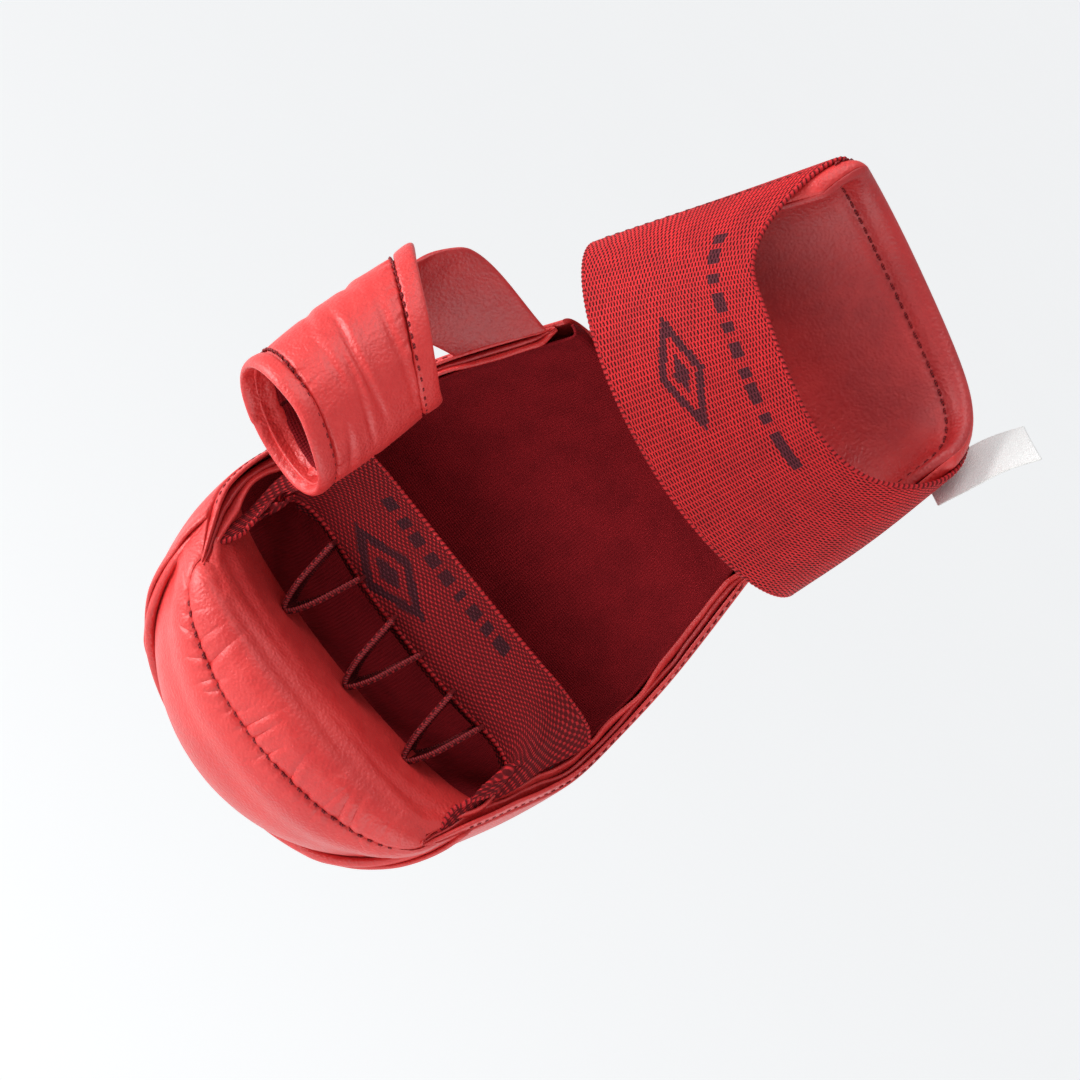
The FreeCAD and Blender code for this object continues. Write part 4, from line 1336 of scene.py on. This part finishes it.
def thumb_leather():
    """The tube's outer leather. It is cut too long for the thumb, so it folds round it."""
    columns, rows = 168, 84
    angles = thumb_angles(columns)[None, :]
    shares = np.linspace(THUMB_BASE_HEM - UNDER_HEM, 1 - THUMB_TIP_HEM + UNDER_HEM, rows)[:, None]
    swell = 0.8 * np.sin(math.pi * (shares - shares[0]) / (shares[-1] - shares[0]))
    grid = thumb_point(angles, shares, 0.35 - swell - thumb_creases(angles, shares))
    piece = grid_piece("thumb_leather", grid, LEATHER_RED, closed=True)
    axis = thumb_axes()[0]
    along = ((grid - grid.mean(axis=(0, 1))) @ axis)[..., None]
    cut = grid + axis * along * 0.012
    ends = np.concatenate([np.arange(columns), np.arange(columns) + (rows - 1) * columns])
    plump(piece, ends, 1.0, 0.0, 1.5, frames=16, bending=1.2, rest=cut.reshape(-1, 3))
    settled = rests(piece).reshape(grid.shape) / MM
    far = distances(grid[0])[None, :]
    under = UNDER_HEM * THUMB_LENGTH
    for side, gap in ((0, surface_gap(grid[::-1])[::-1]), (1, surface_gap(grid))):
        clear = gap - under
        amount = -1.0 * ease((0.9 - clear) / 1.1) - 0.2 * np.exp(-np.maximum(clear, 0) / 2)
        gather = 0.20 * wander(far, 3.4, 131 + side) + creases(far, np.maximum(clear, 0), 135 + side,
                                                               4.0, 0.35, 4.0)
        amount = amount + gather * np.exp(-np.maximum(clear, 0) / 4.0) * ease(clear / 0.8)
        settled = settled + closed_normals(settled) * amount[..., None]
    store(piece, settled)
    layer(piece, SOFT_LEATHER, "thumb_guard", "leather", "thumb_cover")


def closed_normals(grid):
    """Outward unit normals of a grid that closes on itself across its columns."""
    wrapped = np.concatenate([grid[:, -1:], grid, grid[:, :1]], axis=1)
    on = np.gradient(wrapped, axis=0)
    across = np.gradient(wrapped, axis=1)
    return unit(np.cross(across, on))[:, 1:-1] * outward_sign(grid)


def outward_sign(grid):
    """1 or -1, whichever makes cross(across, on) look away from the tube's own middle."""
    across = grid[len(grid) // 2, 1] - grid[len(grid) // 2, 0]
    on = grid[len(grid) // 2 + 1, 0] - grid[len(grid) // 2, 0]
    away = grid[len(grid) // 2, 0] - grid[len(grid) // 2].mean(axis=0)
    return math.copysign(1.0, float(np.dot(np.cross(across, on), away)))


def thumb_hem(name, base, node, seed):
    """A folded hem: flat outside, rounded over the edge, and turned in with gathers."""
    columns = 160
    angles = thumb_angles(columns)[None, :]
    end = 0.0 if base else 1.0
    sign = -1.0 if base else 1.0
    width = THUMB_BASE_HEM if base else THUMB_TIP_HEM
    flat = width * THUMB_LENGTH
    swell = 0.15 if base else 0.25
    profile = [(flat, 0.95), (flat - 0.1, 0.40), (flat - 0.6, 0.02), (flat * 0.55, -swell),
               (1.4, -swell * 0.8), (0.4, 0.15), (0.0, 0.65), (0.1, 1.15), (0.7, 1.65), (2.2, 2.0),
               (4.4, 2.4), (6.0, 2.9), (6.8, 3.0)]
    far = distances(thumb_point(angles[0], 0.5))
    rows = []
    for back, inset in smooth_profile(profile, 34):
        inner = ease((inset - 1.2) / 0.8)
        gather = 0.12 * wander(far, 4.2, seed) * (1 - inner) + 0.32 * wander(far, 2.6, seed + 1) * inner
        rows.append(thumb_point(angles[0], end, inset + gather, -sign * back
                                + 0.35 * wander(far, 9.0, seed + 2)))
    grid = np.array(rows)
    piece = grid_piece(name, grid, LEATHER_RED, closed=True)
    fix_open_tube(piece, grid)
    layer(piece, HEM_LEATHER, "thumb_guard", "leather", node)


def smooth_profile(profile, count):
    """A two-number profile resampled along a smooth curve."""
    spots = curve_through([(a, b, 0.0) for a, b in profile], count)
    return [(float(a), float(b)) for a, b, _ in spots]


def fix_open_tube(piece, grid):
    """Turns a tube's faces outwards if its first band of faces looks inwards."""
    row = len(grid) // 4
    normals = np.array([p.normal for p in piece.data.polygons])
    columns = grid.shape[1]
    band = normals[row * columns:(row + 1) * columns]
    middle = grid[row].mean(axis=0)
    away = unit(grid[row] - middle)
    if (band * away).sum(axis=1).mean() < 0:
        piece.data.flip_normals()


def thumb_rows():
    """The stitches at the inner side of each hem."""
    angles = np.linspace(0, 360, 361)
    for name, share, node, seed in (
            ("thumb_base_stitches", THUMB_BASE_HEM + 0.1 / THUMB_LENGTH, "thumb_base_thread", 141),
            ("thumb_tip_stitches", 1 - THUMB_TIP_HEM - 0.1 / THUMB_LENGTH, "thumb_tip_thread", 142)):
        path = thumb_point(angles, share, 0.50)
        above = thumb_point(angles, share, -0.50)
        sewn_row(name, path, above, "thumb_guard", node, lift=0.0, seed=seed)


def thumb_inside():
    """The foam ply and the lining in the tube."""
    angles = thumb_angles(96)[None, :]
    shares = np.linspace(0.13, 0.87, 28)[:, None]
    for name, inset, material, node, slot in (
            ("thumb_padding", 1.4, FOAM_GREY, "thumb_foam", "foam"),
            ("thumb_inner_lining", 2.3, LINING_RED, "thumb_lining", "lining")):
        grid = thumb_point(angles, shares, inset)
        piece = grid_piece(name, grid, material, closed=True)
        fix_open_tube(piece, grid)
        layer(piece, THUMB_PLY, "thumb_guard", slot, node)


def thumb_strap():
    """The leather strip from the back of the tube to the pad's thumb side."""
    columns, count = 45, 25
    rows = []
    for share in np.linspace(0, 1, count):
        z = STRAP_MIDDLE_Z + STRAP_LENGTH * (0.5 - share)
        along = PAD_WRIST_Z - z
        x = float(smooth(MIDDLE_X, along) - smooth(HALF_WIDTH, along)) - STRAP_CLEARANCE
        start = np.array((x + 1.6, 1.5, z))
        end = thumb_point(STRAP_ANGLE, lerp(STRAP_SHARES, share), 0.3)
        rise = STRAP_RISE * (1 - share) ** 2
        middle = (start + end) / 2 + np.array((-lerp(STRAP_BOW, share), 0, rise))
        rows.append(curve_through([start, middle, end], columns))
    grid = np.array(rows)
    ripple = 0.35 * wander(np.arange(columns), 6.0, 151)[None, :] * np.ones((count, 1))
    grid = push(grid, ripple)
    # The darker leather copy: painted shade behind the thumb tube.
    piece = grid_piece("thumb_strap_leather", grid, SHADED_LEATHER)
    thicken(piece, LEATHER)
    apply_modifiers(piece)
    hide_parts("thumb_strap")
    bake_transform(piece)


# ======== studio ========

def camera():
    """Level with the mitt's middle, looking down a little, and rolled as the arm slants."""
    tilt = math.radians(CAMERA_TILT)
    ahead = np.array((0.0, math.cos(tilt), -math.sin(tilt)))
    level_up = np.array((0.0, math.sin(tilt), math.cos(tilt)))
    sideways = np.array((1.0, 0.0, 0.0))
    right = sideways * CAMERA_ROLL[0] + level_up * CAMERA_ROLL[1]
    up = sideways * -CAMERA_ROLL[1] + level_up * CAMERA_ROLL[0]
    spot = AIM * MM - ahead * CAMERA_DISTANCE
    data = bpy.data.cameras.new("camera")
    data.lens = LENS
    data.sensor_width = 36.0
    data.clip_start = 0.05
    data.clip_end = 60.0
    made = bpy.data.objects.new("camera", data)
    matrix = [[right[k], up[k], -ahead[k], spot[k]] for k in range(3)] + [[0, 0, 0, 1]]
    made.matrix_world = Matrix([[float(value) for value in row] for row in matrix])
    bpy.context.scene.collection.objects.link(made)
    bpy.context.scene.camera = made


def floor():
    """A pale, slightly glowing floor far below, which is all the background there is."""
    mesh = bpy.data.meshes.new("floor")
    corners = [(x * FLOOR_REACH, y * FLOOR_REACH, FLOOR_Z) for x, y in ((-1, -1), (1, -1), (1, 1), (-1, 1))]
    mesh.from_pydata(corners, [], [(0, 1, 2, 3)])
    made = bpy.data.objects.new("floor", mesh)
    pale = Finish("pale_floor", 0.9, specular=0.1)
    cloud = pale.noise(pale.place(), 3.0, 2.0)
    pale.set("Base Color", pale.mix(pale.between(cloud, 0.3, 0.7), (0.875, 0.88, 0.885), (0.88, 0.885, 0.89)))
    pale.set("Emission Color", (1.0, 1.0, 1.0, 1.0))
    pale.set("Emission Strength", FLOOR_GLOW)
    mesh.materials.append(pale.material)
    bpy.context.scene.collection.objects.link(made)


def lights():
    """An even pale sky, a soft light from the camera's left and two weaker ones."""
    world = bpy.data.worlds.new("studio")
    world.use_nodes = True
    sky = world.node_tree.nodes["Background"]
    sky.inputs["Color"].default_value = (0.96, 0.98, 1.0, 1)
    sky.inputs["Strength"].default_value = SKY
    bpy.context.scene.world = world
    for name, spot, size, power in LIGHTS:
        soft_light(name, spot, size, power)
    bpy.context.scene.view_settings.view_transform = "Standard"


def soft_light(name, spot, size, power):
    data = bpy.data.lights.new(name, "AREA")
    data.shape = "SQUARE"
    data.size = size
    data.energy = power
    light = bpy.data.objects.new(name, data)
    light.location = spot
    aim = Vector((AIM * MM).tolist()) - Vector(spot)
    light.rotation_euler = aim.to_track_quat("-Z", "Y").to_euler()
    bpy.context.scene.collection.objects.link(light)


# ======== making ========

def wrist_marks():
    """Middle of the emblem and of each bar, across and on over the wrist elastic."""
    angles = wrist_angles()
    far = distances(wrist_point(angles, 0.5))
    where = lambda angle: float(np.interp(angle - 360, angles, far))
    width = float(distances(wrist_point(angles[165], np.linspace(0, 1, 60)))[-1])
    marks = [("diamonds", where(253), 0.42 * width, 13.5, 6.4)]
    spots = (206, 214, 223, 233, 243, 251, 259, 267, 275, 284, 292)
    sizes = (1.3, 2.0, 1.3, 2.4, 1.4, 2.0, 1.3, 2.4, 1.6, 2.2, 2.0)
    for angle, half in zip(spots, sizes):
        marks.append(("bar", where(angle), 0.77 * width, half, 1.5))
    return marks


def palm_marks():
    """Middle of the emblem and of each bar, across and on over the finger elastic."""
    lower, upper = (curve_through(edge, 221) for edge in band_edges())
    middle = (lower + upper) / 2
    far = distances(middle)
    width = float(np.linalg.norm(upper[110] - lower[110]))
    x_at = lambda x: float(far[60:160][np.argmin(np.abs(middle[60:160, 0] - x))])
    marks = [("diamonds", x_at(-16), 0.30 * width, 12.5, 5.6)]
    for x, half in ((-33, 1.2), (-29, 1.8), (-24, 1.2), (-19, 2.0), (-13, 1.4), (-8, 1.9), (-3, 1.2),
                    (2, 2.0), (7, 1.4), (12, 1.9)):
        marks.append(("bar", x_at(x), 0.80 * width, half, 1.5))
    return marks


WRIST_WEAVE = woven_material("wrist_weave", YARN, YARN_LIGHT, PIT_SHADE_AND_BLOTCH, (2.46, 0.88), wrist_marks(),
                             pits=(0.05, 0.55))
# The finger elastic's colours are darker than the wrist elastic's: painted shade from the fingers over it.
# The loop and ribbon elastic is darker still: painted shade behind the band and between the fingers.
PALM_WEAVE = woven_material("palm_weave", (0.52, 0.012, 0.017), (0.70, 0.035, 0.036),
                            (0.10, 0.002, 0.004), (1.7, 0.9), palm_marks())
RIBBON_WEAVE = woven_material("ribbon_weave", (0.36, 0.009, 0.013), (0.48, 0.020, 0.022),
                              (0.06, 0.001, 0.003), (1.5, 0.85))
EDGE_YARN = yarn_material()
LINING_RED = lining_material()
THREAD_RED = thread_material()
FOAM_GREY = foam_material()
SATIN_WHITE = satin_material()

camera()
floor()
lights()
knuckle_cover()
back_cover()
lapped_edge()
front_panel()
front_seam()
pad_filling()
side_hem(-1, "thumb_side_hem", 200)
side_hem(1, "little_side_hem", 220)
finger_elastic()
inner_loop()
dividers()
wrist_elastic()
tongue()
fold_leather()
label()
thumb_leather()
thumb_hem("thumb_base_roll", True, "thumb_base_hem", 161)
thumb_hem("thumb_tip_roll", False, "thumb_tip_hem", 171)
thumb_rows()
thumb_inside()
thumb_strap()
